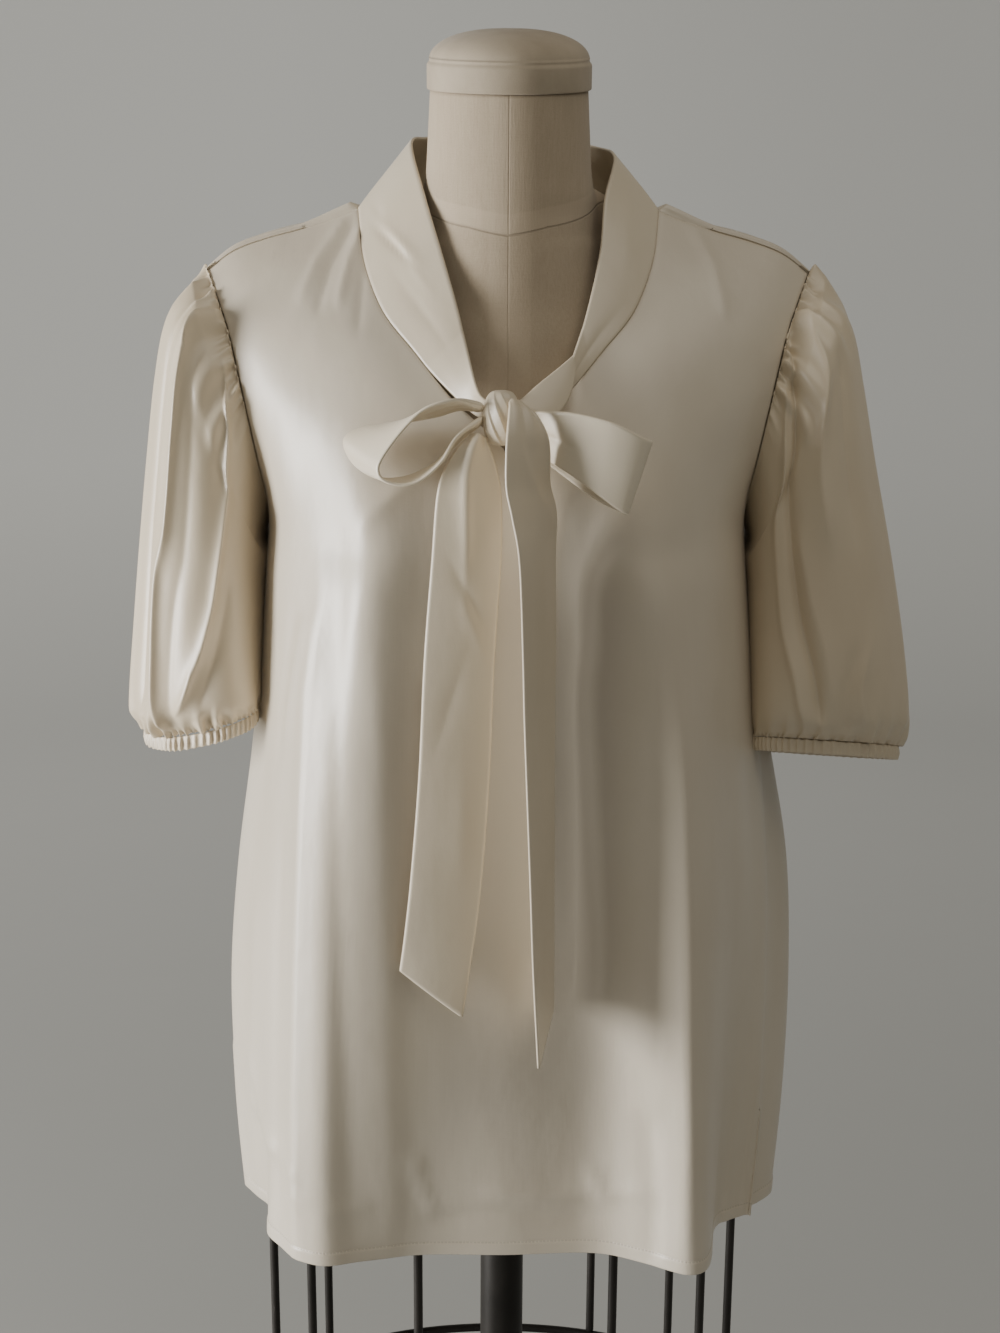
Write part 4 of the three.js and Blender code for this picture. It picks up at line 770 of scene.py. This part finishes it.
COLLAR_TURN = (
    ((44.5, -108, 1285), (45, -109.5, 1280)), ((33, -120, 1276.5), (43, -121, 1268)),
    ((20, -132, 1267), (38, -131.5, 1256)), ((9.5, -141, 1258.5), (28.5, -142, 1246.5)),
    ((2, -143, 1255), (14, -146.5, 1244)),
)


def collar_turn():
    """The collar's right end turned over: a ruled surface between two smooth lines, bowed out a little."""
    table = np.array(COLLAR_TURN, float)
    lines = curve(table, np.linspace(0, len(table) - 1, 56))
    across = np.linspace(0, 1, 17)
    grid = mix(lines[:, None, 0], lines[:, None, 1], across[None, :, None])
    wide = np.linalg.norm(lines[:, 1] - lines[:, 0], axis=-1)[:, None]
    grid[..., 1] -= 0.10 * wide * 4 * across * (1 - across)
    index = np.arange(grid.shape[0] * grid.shape[1]).reshape(grid.shape[:2])
    uv = grid_uv(np.stack([run_length(grid, 1), run_length(grid, 0)], -1))
    return grid.reshape(-1, 3), grid_quads(index)[:, ::-1], uv[:, ::-1]


def collar_creases(side, run, across):
    """Dents in the collar: each a hump in the distance along the band, and across it from a slanting line."""
    dents = {
        -1: (
            (208, 22, 0.42, 0.045, 0.16, -2.2),
            (212, 24, 0.54, 0.06, 0.16, 1.4),
            (236, 22, 0.62, 0.08, 0.08, 1.0),
            (178, 12, 0.34, 0.07, 0.05, -0.9),
            (262, 30, 0.45, 0.12, 0.10, -0.9),
        ),
        1: ((288, 30, 0.35, 0.16, 0.12, -1.0), (190, 34, 0.6, 0.2, -0.1, 0.7)),
    }[side]
    total = np.zeros((len(run), len(across)))
    for at, long, middle, wide, slant, depth in dents:
        off = across[None] - middle - slant * (run[:, None] - at) / long
        total += depth * np.exp(-(((run - at) / long) ** 2))[:, None] * sharp_hump(off / wide)
    return total


def ribbon(name, rows, steps, pleats, creases, material, curl=0, settle=0, swing=0):
    """A ribbon of the tie as a double wall along its rows, each a middle and half a width.

    Across its width it curls as one less the square of the share, and near the knot its cloth is pleated by
    waves across the width that die away with the distance. Below the bust it settles a little nearer to the
    front, and it may swing forward away from the middle. Creases are humps in the distance along it and the
    share across it.
    """
    table = np.array(rows, float)
    table[:, 1] += settle * smoothstep((1200 - table[:, 2]) / 220)
    table[:, 1] -= swing * smoothstep((table[:, 0] - 15) / 60)
    centre_half = curve(table, np.linspace(0, len(rows) - 1, steps))
    centre, half = centre_half[:, None, :3], centre_half[:, None, 3:]
    share = np.linspace(-1, 1, RIBBON_COLUMNS)
    grid = centre + half * share[None, :, None]
    grid[..., 1] -= curl * (1 - share**2)
    index = np.arange(steps * RIBBON_COLUMNS).reshape(steps, -1)
    quads = grid_quads(index)
    normals = point_normals(grid.reshape(-1, 3), quads).reshape(grid.shape)
    run = run_length(centre, 0)[:, 0]
    relief = np.zeros((steps, RIBBON_COLUMNS))
    for from_start, count, depth, fade, shift in pleats:
        near = run if from_start else run[-1] - run
        waves = np.cos(np.pi * count * share + shift)[None]
        relief += depth * waves * np.exp(-near / fade)[:, None] * smoothstep(near / 6 + 0.3)[:, None]
    for at, long, middle, wider, slant, depth in creases:
        off = share[None] - middle - slant * (run[:, None] - at) / long
        relief += depth * np.exp(-(((run - at) / long) ** 2))[:, None] * sharp_hump(off / wider)
    grid = grid + normals * relief[..., None]
    uv = grid_uv(np.stack(np.broadcast_arrays(share * TIE_WIDTH / 2, run[:, None]), -1))
    points = grid.reshape(-1, 3)
    return make_mesh(name, *wall(points, quads, uv, DOUBLE_CLOTH, bulge=0.5), material)


def knot(material):
    """The knot: a rounded barrel whose cloth wraps over its front in slanting, lapping folds."""
    levels, sides = 80, 200
    tall = np.pi * (np.arange(1, levels) / levels - 0.5)[:, None]
    angle = (2 * np.pi * np.arange(sides) / sides)[None]
    slant = angle + tall * 0.55
    front = np.exp(-(((angle - 1.5 * np.pi) / 1.2) ** 2))
    steps = ((slant - 4.15) / 0.62) % 1
    wrap = 0.97 + (0.16 * steps**1.6 * smoothstep((1 - steps) / 0.16) - 0.03) * front * np.cos(tall) ** 0.5
    waist = np.cos(tall) ** 0.55
    x = KNOT["x"] + KNOT["half_width"] * waist * wrap * np.cos(angle)
    y = KNOT["y"] + KNOT["half_depth"] * waist * wrap * np.sin(angle)
    z = KNOT["z"] + KNOT["half_height"] * np.sin(tall) + 0 * angle
    rings = np.stack([x, y, z], -1)
    points, quads = loft(rings)
    looped = np.concatenate([rings, rings[:, :1]], 1)
    side_uv = grid_uv(np.stack([run_length(looped, 1), run_length(looped, 0)], -1))
    uv = np.concatenate([side_uv, np.zeros((len(quads) - len(side_uv), 4, 2))])
    return make_mesh("bow_knot_cloth", points, quads, uv, material)


# ---- the dress form and its stand


def oval_reach(half, front, back, cos, sin):
    """How far an oval reaches from the axis, its middle lying between its front and its back."""
    depth = (front + back) / 2
    shift = (back - front) / 2
    a = (cos / half) ** 2 + (sin / depth) ** 2
    b = -2 * sin * shift / depth**2
    c = (shift / depth) ** 2 - 1
    return (-b + np.sqrt(b * b - 4 * a * c)) / (2 * a)


def torso(material):
    """The dress form: level sections, each the ninth-power blend of the body's oval and the neck's."""
    sides = 160
    place = np.concatenate([np.linspace(0, 6, 70), np.linspace(6, len(FORM_SECTIONS) - 1, 130)[1:]])
    z, half, front, back, neck, neck_front, neck_back, lift = curve(FORM_SECTIONS, place).T[:, :, None]
    angle = (2 * np.pi * np.arange(sides) / sides)[None]
    cos, sin = np.cos(angle), np.sin(angle)
    body = oval_reach(half, front, back, cos, sin)
    upright = oval_reach(neck, neck_front, neck_back, cos, sin)
    standing = smoothstep((z - 1390) / 13)
    reach = mix((body**9 + upright**9) ** (1 / 9), upright, standing)
    front, back = mix(front, neck_front, standing), mix(back, neck_back, standing)
    rise = lift * (reach * sin - (back - front) / 2) / (front + back)
    rings = np.stack([reach * cos, reach * sin, z + rise], -1)
    hub = np.array([0.0, 5.0, FORM_BOTTOM_Z])
    edge = [mix(rings[:1], hub, share) for share in (0.9, 0.5, 0.04)]
    rings[0] = mix(rings[0], hub, 0.012)
    rings = np.concatenate([*edge, rings])
    points, quads = loft(rings)
    return make_mesh("form_body", points, quads, None, material)


def turned(profile, sides, tilt=0.0, at=(0.0, 0.0, 0.0)):
    """A profile of (radius, height) points turned round the upright axis, then tilted and moved."""
    angle = (2 * np.pi * np.arange(sides) / sides)[None]
    radius, height = np.array(profile, float).T[:, :, None]
    rings = np.stack([radius * np.cos(angle), radius * np.sin(angle), height + 0 * angle], -1)
    cos, sin = math.cos(tilt), math.sin(tilt)
    turn = np.array([[1, 0, 0], [0, cos, -sin], [0, sin, cos]])
    return loft(rings @ turn.T + np.array(at))


def rounded(profile, radius, steps=5):
    """A profile whose inner corners are replaced by short arcs, as quadratic curves from edge to edge."""
    points = [np.array(p, float) for p in profile]
    done = [points[0]]
    for before, corner, after in zip(points, points[1:], points[2:]):
        room = min(radius, np.linalg.norm(before - corner) * 0.45, np.linalg.norm(after - corner) * 0.45)
        start = corner + (before - corner) / np.linalg.norm(before - corner) * room
        end = corner + (after - corner) / np.linalg.norm(after - corner) * room
        s = np.linspace(0, 1, steps)[:, None]
        done.extend((1 - s) ** 2 * start + 2 * s * (1 - s) * corner + s * s * end)
    return [*done, points[-1]]


def cap(material):
    """The turned cap, tilted as the neck's top is: an upright skirt, and a dome that rises as the sine."""
    z, *_, neck_front, neck_back, lift = FORM_SECTIONS[-1]
    radius, skirt, dome = CAP["radius"], CAP["skirt"], CAP["dome"]
    angle = np.linspace(0, np.pi / 2, 24)[1:-1]
    crown = [((radius - 1.5) * math.cos(a) ** 0.8, skirt + dome * math.sin(a)) for a in angle]
    rim = [(0.5, 0), (radius, 0), (radius, skirt - 2.6)]
    rim += [(radius - 1.8, skirt - 0.6), (radius - 1.5, skirt + 1.4)]
    profile = rounded(rim, 1.2, 4) + crown + [(0.4, skirt + dome)]
    tilt = math.atan(lift / (neck_front + neck_back))
    at = (0, (neck_back - neck_front) / 2, z + SEAT_GAP)
    points, quads = turned(profile, 128, tilt, at)
    return make_mesh("form_cap_cloth", points, quads, None, material)


def rod_place(angle, share):
    """Where a rod stands: on an oval just inside the form's bottom edge, and a little narrower below."""
    half, front, back = FORM_SECTIONS[0][1:4]
    inset = mix(7, 9, share)
    x = (half - inset) * np.cos(np.radians(angle))
    y = (back - front) / 2 + ((front + back) / 2 - inset) * np.sin(np.radians(angle))
    return np.stack([x, y], -1)


def rod(number, angle, material):
    """A rod of the cage: round sections from the hoop up to the form, with soft ends."""
    foot, top = rod_place(angle, 1), rod_place(angle, 0)
    low, high = CAGE_BOTTOM_Z + ROD_RADIUS + SEAT_GAP, FORM_BOTTOM_Z - SEAT_GAP
    share = np.array([0, 0, 0.004, 0.02, 0.5, 0.98, 0.996, 1, 1])
    radius = ROD_RADIUS * np.array([0.5, 0.8, 1, 1, 1, 1, 1, 0.85, 0.5])
    around = 2 * np.pi * np.arange(20) / 20
    ring = np.stack([np.cos(around), np.sin(around), 0 * around], -1)
    middle = np.concatenate([mix(foot, top, share[:, None]), mix(low, high, share)[:, None]], 1)
    points, quads = loft(middle[:, None] + ring[None] * radius[:, None, None])
    return make_mesh(f"rod_{number}", points, quads, None, material)


def hoop(material):
    """The hoop that the rods end on: a round section carried round their oval."""
    angle = 360 * np.arange(180) / 180
    place, ahead = rod_place(angle, 1), rod_place(angle + 0.1, 1)
    outward = unit(np.stack([ahead[:, 1] - place[:, 1], place[:, 0] - ahead[:, 0]], -1))
    around = -2 * np.pi * np.arange(16) / 16
    out = ROD_RADIUS * np.cos(around)[None, :, None] * outward[:, None]
    flat = place[:, None] + out
    height = CAGE_BOTTOM_Z + ROD_RADIUS * np.sin(around)[None].repeat(180, 0)
    points, quads = loft(np.concatenate([flat, height[..., None]], -1), looped=True)
    return make_mesh("cage_hoop", points, quads, None, material)


def pole(material):
    """The pole: a plain upright tube from the boss to the form."""
    low = BASE_THICKNESS + BASE_RISE + BOSS_HEIGHT + 2 * SEAT_GAP
    high = FORM_BOTTOM_Z - SEAT_GAP
    profile = rounded([(0.5, low), (POLE_RADIUS, low), (POLE_RADIUS, high), (0.5, high)], 1, 4)
    points, quads = turned(profile, 96)
    return make_mesh("pole_tube", points, quads, None, material)


def base(material):
    """The base: a flat plate whose top rises a little towards its middle."""
    top = BASE_THICKNESS + BASE_RISE
    rim = [(0.5, 0), (BASE_RADIUS, 0), (BASE_RADIUS, BASE_THICKNESS - 5), (BASE_RADIUS - 7, BASE_THICKNESS)]
    corners = [*rim, (46, top), (0.5, top)]
    points, quads = turned(rounded(corners, 4, 6), 160)
    return make_mesh("base_plate", points, quads, None, material)


def boss(material):
    """The boss on the plate, which the pole stands on, with a shallow groove under its shoulder."""
    foot = BASE_THICKNESS + BASE_RISE + SEAT_GAP
    top = foot + BOSS_HEIGHT
    groove = [(28.6, top - 9), (27.9, top - 7.5), (28.2, top - 5)]
    corners = [(0.5, foot), (34, foot), (33, foot + 10), *groove, (24, top), (0.5, top)]
    points, quads = turned(rounded(corners, 1.6, 5), 96)
    return make_mesh("base_boss", points, quads, None, material)


# ---- the materials


class Link:
    """A number in a material, with plain arithmetic: each operation adds the Math node that works it out."""

    def __init__(self, look, socket):
        self.look = look
        self.socket = socket

    def math(self, operation, *values):
        return self.look.node("ShaderNodeMath", {"operation": operation}, dict(enumerate(values)))

    def __add__(self, other):
        return self.math("ADD", self, other)

    __radd__ = __add__

    def __sub__(self, other):
        return self.math("SUBTRACT", self, other)

    def __rsub__(self, other):
        return self.math("SUBTRACT", other, self)

    def __mul__(self, other):
        return self.math("MULTIPLY", self, other)

    __rmul__ = __mul__

    def sine(self):
        return self.math("SINE", self)

    def size(self):
        return self.math("ABSOLUTE", self)

    def share(self):
        return self.math("FRACT", self)

    def rise(self, low, high):
        """From 0 at low to 1 at high, smoothly."""
        values = {"Value": self, "From Min": low, "From Max": high}
        return self.look.node("ShaderNodeMapRange", {"interpolation_type": "SMOOTHSTEP"}, values)


class Look:
    """A material: its shader's plain values, and the nodes that feed what changes over the surface."""

    def __init__(self, name, **plain):
        self.material = bpy.data.materials.new(name)
        self.material.use_nodes = True
        self.tree = self.material.node_tree
        self.shader = next(n for n in self.tree.nodes if n.type == "BSDF_PRINCIPLED")
        for socket, value in plain.items():
            self.shader.inputs[socket.replace("_", " ")].default_value = value

    def node(self, kind, settings=None, values=None, out=0):
        """Adds a node, its settings first and then its sockets' values or links, and gives one output."""
        made = self.tree.nodes.new(kind)
        for name, value in (settings or {}).items():
            setattr(made, name, value)
        for name, value in (values or {}).items():
            self.join(value, made.inputs[name])
        return Link(self, made.outputs[out])

    def join(self, value, socket):
        if isinstance(value, Link):
            self.tree.links.new(value.socket, socket)
        else:
            socket.default_value = value

    def place(self, stretch=(1, 1, 1)):
        """The object's own coordinates in millimetres, stretched."""
        at = self.node("ShaderNodeTexCoord", out=3)
        return self.node("ShaderNodeMapping", None, {"Vector": at, "Scale": tuple(1000 * s for s in stretch)})

    def cloth_place(self, stretch=(1, 1, 1)):
        """Where a point lies on the flat cloth, in millimetres across and along it."""
        at = self.node("ShaderNodeUVMap", {"uv_map": "cloth"})
        return self.node("ShaderNodeMapping", None, {"Vector": at, "Scale": stretch})

    def parts(self, vector):
        split = self.tree.nodes.new("ShaderNodeSeparateXYZ")
        self.join(vector, split.inputs[0])
        return [Link(self, socket) for socket in split.outputs]

    def noise(self, place, scale, detail=3, rough=0.5):
        values = {"Vector": place, "Scale": scale, "Detail": detail, "Roughness": rough}
        return self.node("ShaderNodeTexNoise", None, values)

    def blend(self, share, first, second):
        """One colour into another by a share."""
        made = self.node("ShaderNodeMix", {"data_type": "RGBA"}, {0: share}, out=2)
        inputs = made.socket.node.inputs
        for value, socket in ((first, inputs[6]), (second, inputs[7])):
            self.join(value if isinstance(value, Link) else (*value, 1), socket)
        return made

    def feed(self, socket, value):
        self.join(value, self.shader.inputs[socket])

    def bump(self, height, distance, strength=1.0, under=None):
        """Turns a height into slopes, on top of another bump where one is given."""
        values = {"Height": height, "Distance": distance, "Strength": strength}
        if under is not None:
            values["Normal"] = under
        return self.node("ShaderNodeBump", None, values)


def toned(tone, share):
    """A colour made darker or paler by a factor."""
    return tuple(min(1, c * share) for c in tone)


def crepe(name, tone, deep, hem=None, painted_shade=0):
    """The blouse's ivory crepe.

    Its colour wanders slowly between two tones. The fine pebble of the weave is two crossed rows of threads
    with noise over them, and the sheen is broken up a little. A hem gives a line of stitches: how far from
    the cloth's edge it runs, and its pitch. A share of painted shade darkens a patch in the front's middle
    below the tie, standing in for the tails' cast shadow and the dim lower middle.
    """
    look = Look(name, Specular_IOR_Level=1.0, Sheen_Weight=0.1, Sheen_Roughness=0.4)
    at = look.cloth_place()
    across, along, _ = look.parts(at)
    warp = (across * (2 * math.pi / 0.9)).sine()
    weft = (along * (2 * math.pi / 0.9)).sine()
    pebble = look.noise(at, 0.9, 2, 0.6)
    broad = look.noise(look.place((0.012, 0.012, 0.006)), 1.0, 3, 0.55)
    slub = look.noise(look.cloth_place((0.5, 0.02, 1)), 1.0, 2, 0.6)
    colour = look.blend(broad.rise(0.35, 0.68), tone, deep)
    colour = look.blend((slub - 0.5).size() * 0.5, colour, toned(tone, 1.06))
    height = warp * 0.25 + weft * 0.25 + pebble * 1.3
    if hem:
        line, pitch = hem
        near = 1 - (along - line).size().rise(0.15, 0.75)
        dash = ((across * (1 / pitch)).share() - 0.5).size().rise(0.42, 0.3)
        stitch = near * dash
        colour = look.blend(stitch * 0.55, colour, toned(deep, 0.66))
        height = height - near * 2.5 + stitch * 4
    # Painted shade: the base colour is darkened by a share over the front's middle, from below the tie nearly
    # to the hem, for the tails' cast shadow and the dim lower middle.
    if painted_shade:
        x, y, z = look.parts(look.place())
        over = x.rise(-66, -30) * x.rise(96, 55) * z.rise(690, 800) * z.rise(1250, 1100) * y.rise(-20, -60)
        colour = look.blend(over * painted_shade, colour, toned(deep, 0.48))
    look.feed("Base Color", colour)
    look.feed("Roughness", broad * 0.1 + pebble * 0.08 + 0.3)
    creased = look.bump(look.noise(look.place((0.03, 0.03, 0.018)), 1.0, 3, 0.5), 0.0016, 0.5)
    look.feed("Normal", look.bump(height, 0.00005, 0.55, creased))
    return look.material


def linen(name, light, dark):
    """The form's linen: uneven upright threads over finer level ones.

    The seams down the middle and round the neck are thin dark lines where the object's own coordinates cross
    them, each beside a paler tape.
    """
    look = Look(name, Specular_IOR_Level=0.25, Sheen_Weight=0.12, Sheen_Roughness=0.6)
    threads = look.noise(look.place((0.9, 0.9, 0.05)), 1.0, 3, 0.62)
    level = look.noise(look.place((0.05, 0.05, 0.9)), 1.0, 2, 0.6)
    grain = look.noise(look.place((1.1, 1.1, 1.1)), 1.0, 2, 0.7)
    broad = look.noise(look.place((0.014, 0.014, 0.008)), 1.0, 3, 0.6)
    x, y, z = look.parts(look.place())
    colour = look.blend(threads.rise(0.25, 0.75) * 0.45 + 0.4, dark, light)
    colour = look.blend(broad.rise(0.4, 0.75) * 0.5, colour, toned(dark, 0.8))
    colour = look.blend(grain.rise(0.45, 0.75) * 0.28, colour, toned(dark, 0.72))
    tape = (1 - (x - 1).size().rise(13, 15)) * 0.22
    colour = look.blend(tape, colour, toned(light, 1.12))
    middle = 1 - x.size().rise(0.15, 0.7)
    neck_line = 1389 + y * 0.30 - x.math("MAXIMUM", 26 - x.size(), 0) * 0.13
    neck = 1 - (z - neck_line).size().rise(0.2, 0.9)
    band = (1 - (z - neck_line - 7).size().rise(5, 7)) * 0.4
    colour = look.blend(band, colour, toned(light, 1.14))
    groove = middle.math("MAXIMUM", middle * 0.45, neck)
    colour = look.blend(groove * 0.42, colour, toned(dark, 0.45))
    look.feed("Base Color", colour)
    look.feed("Roughness", threads * 0.12 + 0.8)
    height = threads * 1.2 + level * 0.8 + grain * 0.6 - groove * 3
    look.feed("Normal", look.bump(height, 0.00022, 0.6))
    return look.material


def cap_cloth(name, light, dark):
    """The cap's closely woven cloth, a little worn: its tone wanders in broad patches over a fine darker
    grain.
    """
    look = Look(name, Specular_IOR_Level=0.3, Sheen_Weight=0.15)
    grain = look.noise(look.place((1.0, 1.0, 1.0)), 1.0, 3, 0.65)
    broad = look.noise(look.place((0.03, 0.03, 0.02)), 1.0, 3, 0.6)
    colour = look.blend(broad.rise(0.3, 0.7), light, dark)
    colour = look.blend(grain.rise(0.5, 0.8) * 0.25, colour, toned(dark, 0.8))
    look.feed("Base Color", colour)
    look.feed("Roughness", grain * 0.15 + 0.68)
    look.feed("Normal", look.bump(grain + broad * 3, 0.00025, 0.5))
    return look.material


def painted_metal(name, tone, worn):
    """Near black satin paint: a fine orange peel, dull smudges, and a few rubbed flecks of paler metal."""
    look = Look(name, Metallic=0.35, Specular_IOR_Level=0.5)
    peel = look.noise(look.place((0.5, 0.5, 0.5)), 1.0, 2, 0.5)
    smudge = look.noise(look.place((0.02, 0.02, 0.012)), 1.0, 4, 0.6)
    fleck = look.noise(look.place((0.35, 0.35, 0.06)), 1.0, 4, 0.7).rise(0.68, 0.8)
    colour = look.blend(smudge.rise(0.35, 0.7), tone, toned(tone, 1.9))
    look.feed("Base Color", look.blend(fleck * 0.5, colour, worn))
    look.feed("Roughness", smudge * 0.25 + peel * 0.08 + 0.26)
    look.feed("Normal", look.bump(peel, 0.00012, 0.35))
    return look.material


def floor_paint(name, tone):
    """Pale matt paint with painted light: its emission stands in for the window's light, brighter further
    back, falling off to the right and towards the foot of the wall.
    """
    look = Look(name, Specular_IOR_Level=0.1, Emission_Strength=0.285)
    grain = look.noise(look.place((0.004, 0.004, 0.004)), 1.0, 3, 0.5)
    x, y, z = look.parts(look.place())
    # Painted light: an emitted tone over the floor and wall, for the window's light and its fall-off.
    painted_light = 0.25 + y.rise(300, 3600) * (1 - x.rise(-1500, 1900) * 0.5) * (0.42 + z.rise(-400, 900) * 0.38)
    look.feed("Emission Color", look.blend(painted_light, (0, 0, 0), (1, 0.985, 0.92)))
    look.feed("Base Color", look.blend(grain, tone, toned(tone, 0.96)))
    look.feed("Roughness", grain * 0.1 + 0.85)
    return look.material


# ---- the pieces

IVORY, IVORY_DEEP = (0.67, 0.60, 0.485), (0.64, 0.565, 0.45)
# The body's crepe takes half a share of painted shade over the front's middle, below the tie.
body_crepe = crepe("body_crepe", IVORY, IVORY_DEEP, (HEM_STITCHES, 2.6), 0.5)
# Painted shade: the sleeves' copy of the crepe is warmer and yellower than the body's, for the warm shade
# they hang in.
sleeve_crepe_painted_shade = crepe("sleeve_crepe_painted_shade", (0.70, 0.60, 0.445), (0.665, 0.56, 0.41))
band_crepe = crepe("band_crepe", (0.70, 0.615, 0.475), (0.67, 0.58, 0.44))
# Painted light: the loops' copy of the crepe is paler than the tails' and the knot's, for the strong light on
# their upturned faces.
loop_crepe_painted_light = crepe("loop_crepe_painted_light", (0.79, 0.705, 0.555), (0.76, 0.67, 0.515))
form_linen = linen("form_linen", (0.49, 0.405, 0.30), (0.40, 0.32, 0.225))
cap_weave = cap_cloth("cap_weave", (0.46, 0.39, 0.295), (0.39, 0.325, 0.24))
black_paint = painted_metal("black_paint", (0.016, 0.014, 0.012), (0.16, 0.15, 0.14))

LEFT_LOOP_PLEATS = ((True, 3, 1.3, 16, 0.4), (False, 3, 1.5, 18, 1.2))
RIGHT_LOOP_PLEATS = ((True, 1.6, 1.1, 16, 0.8), (False, 2.2, 0.8, 18, 0.2))
RIGHT_LOOP_CREASES = ((16, 24, 0.0, 0.3, 0.1, -1.8),)
LEFT_TAIL_PLEATS = ((True, 1.25, -1.7, 34, 0.3),)
LEFT_TAIL_CREASES = (
    (40, 46, -0.1, 0.2, 0.1, -2.6), (104, 20, 0.1, 0.2, 0.5, 1.1), (122, 22, 0.3, 0.25, 0.4, -0.9),
    (176, 26, -0.2, 0.3, -0.3, 0.9), (260, 40, 0.3, 0.5, 0.1, -0.8),
)
RIGHT_TAIL_PLEATS = ((True, 2.2, 1.0, 26, 1.0),)
RIGHT_TAIL_CREASES = (
    (58, 26, 0.2, 0.3, 0.6, -0.9), (120, 60, 0.25, 0.4, 0, -0.8), (230, 40, -0.1, 0.4, 0.2, 0.8),
)

front = panel("front", FRONT_CREASES, body_crepe)
back = panel("back", BACK_CREASES, body_crepe)
sleeve_right, sleeve_left = sleeve(1, sleeve_crepe_painted_shade), sleeve(-1, sleeve_crepe_painted_shade)
cuff_right, cuff_left = cuff(1, sleeve_crepe_painted_shade), cuff(-1, sleeve_crepe_painted_shade)
neck_band = collar(band_crepe)
loop_left = ribbon("loop_cloth_left", LEFT_LOOP, 150, LEFT_LOOP_PLEATS, (), loop_crepe_painted_light)
loop_right = ribbon(
    "loop_cloth_right", RIGHT_LOOP, 140, RIGHT_LOOP_PLEATS, RIGHT_LOOP_CREASES, loop_crepe_painted_light, swing=10
)
tail_left = ribbon(
    "tail_cloth_left", LEFT_TAIL, 180, LEFT_TAIL_PLEATS, LEFT_TAIL_CREASES, band_crepe, curl=1.5
)
tail_right = ribbon(
    "tail_cloth_right", RIGHT_TAIL, 190, RIGHT_TAIL_PLEATS, RIGHT_TAIL_CREASES, band_crepe, settle=11
)
cloths = (
    ("front", front, (0.62, 0.73), 0.35, "draped", ["form_torso", "back"]),
    ("back", back, (0.70, 0.74), 0.41, "draped", ["form_torso", "front"]),
    ("sleeve_right", sleeve_right, (0.42, 0.37), 0.13, "gathered", ["front", "back"]),
    ("sleeve_left", sleeve_left, (0.42, 0.34), 0.12, "gathered", ["front", "back"]),
    ("cuff_right", cuff_right, (0.37, 0.011), 0.0040, "gathered", ["sleeve_right"]),
    ("cuff_left", cuff_left, (0.34, 0.011), 0.0037, "gathered", ["sleeve_left"]),
    ("collar", neck_band, (0.56, 0.054), 0.028, "folded", ["front", "back"]),
    ("bow_loop_left", loop_left, (0.21, 0.047), 0.0068, "folded", ["bow_knot"]),
    ("bow_loop_right", loop_right, (0.17, 0.047), 0.007, "folded", ["bow_knot"]),
    ("bow_tail_left", tail_left, (0.047, 0.40), 0.0176, "hung", ["bow_knot"]),
    ("bow_tail_right", tail_right, (0.047, 0.437), 0.0198, "hung", ["bow_knot"]),
)
for node, made, flat, area, held, rests_on in cloths:
    place_piece(made, node)
place_piece(knot(band_crepe), "bow_knot")
place_piece(torso(form_linen), "form_torso")
place_piece(cap(cap_weave), "form_cap")
for number, angle in enumerate(ROD_ANGLES, 1):
    place_piece(rod(number, angle, black_paint), f"cage_rod_{number}")
place_piece(hoop(black_paint), "cage_ring")
place_piece(pole(black_paint), "stand_pole")
place_piece(boss(black_paint), "stand_boss")
place_piece(base(black_paint), "stand_base")

# ---- the floor, the light and the camera

FLOOR_REACH, FLOOR_BEND, WALL_TOP = 4300, 1500, 5200
bend = np.linspace(0, math.pi / 2, 14)[1:]
sweep = [(FLOOR_REACH + FLOOR_BEND * math.sin(a), FLOOR_BEND - FLOOR_BEND * math.cos(a)) for a in bend]
sweep = [(10, 0), (FLOOR_REACH, 0), *sweep, (FLOOR_REACH + FLOOR_BEND, WALL_TOP)]
radius, height = np.array(sweep, float).T[:, :, None]
around = 2 * np.pi * np.arange(96)[None] / 96
rings = np.stack([radius * np.cos(around), radius * np.sin(around), height + 0 * around], -1)
studio = make_mesh("floor", *loft(rings, cap_end=False), None, floor_paint("floor_paint", (0.33, 0.33, 0.31)))


def soft_light(name, place, aim, size, power, colour):
    """An area lamp at a place in metres, turned to face another, that the camera doesn't see."""
    lamp = bpy.data.lights.new(name, "AREA")
    lamp.shape = "RECTANGLE"
    lamp.size, lamp.size_y = size
    lamp.energy = power
    lamp.color = colour
    made = bpy.data.objects.new(name, lamp)
    made.location = place
    way = np.array(aim, float) - np.array(place, float)
    made.rotation_euler = Vector(way).to_track_quat("-Z", "Y").to_euler()
    made.visible_camera = False
    bpy.context.scene.collection.objects.link(made)


soft_light("window", (-2.75, -0.68, 0.95), (0, 0.5, 1.0), (1.1, 1.7), 150, (1, 0.99, 0.975))
soft_light("ceiling", (0.5, -1.0, 3.2), (0, 0, 1.2), (2.2, 2.2), 17, (1, 0.94, 0.83))

world = bpy.data.worlds.new("room")
world.use_nodes = True
sky = world.node_tree.nodes["Background"]
sky.inputs["Color"].default_value = (1, 0.94, 0.84, 1)
sky.inputs["Strength"].default_value = 0.15
bpy.context.scene.world = world

# The camera's place in metres, its angles in degrees, and its focal length and frame in pixels.
CAMERA_PLACE = (-0.004, -1.43, 1.357)
CAMERA_DOWN, CAMERA_ROLL = 12, 0.33
FOCAL_LENGTH, FRAME_HEIGHT = 2000, 1333
lens = bpy.data.cameras.new("camera")
lens.sensor_width = 36
lens.lens = FOCAL_LENGTH / FRAME_HEIGHT * 36
camera = bpy.data.objects.new("camera", lens)
camera.matrix_world = (
    Matrix.Translation(CAMERA_PLACE)
    @ Matrix.Rotation(math.radians(90 - CAMERA_DOWN), 4, "X")
    @ Matrix.Rotation(math.radians(CAMERA_ROLL), 4, "Z")
)
bpy.context.scene.collection.objects.link(camera)
bpy.context.scene.camera = camera

bpy.context.view_layer.update()
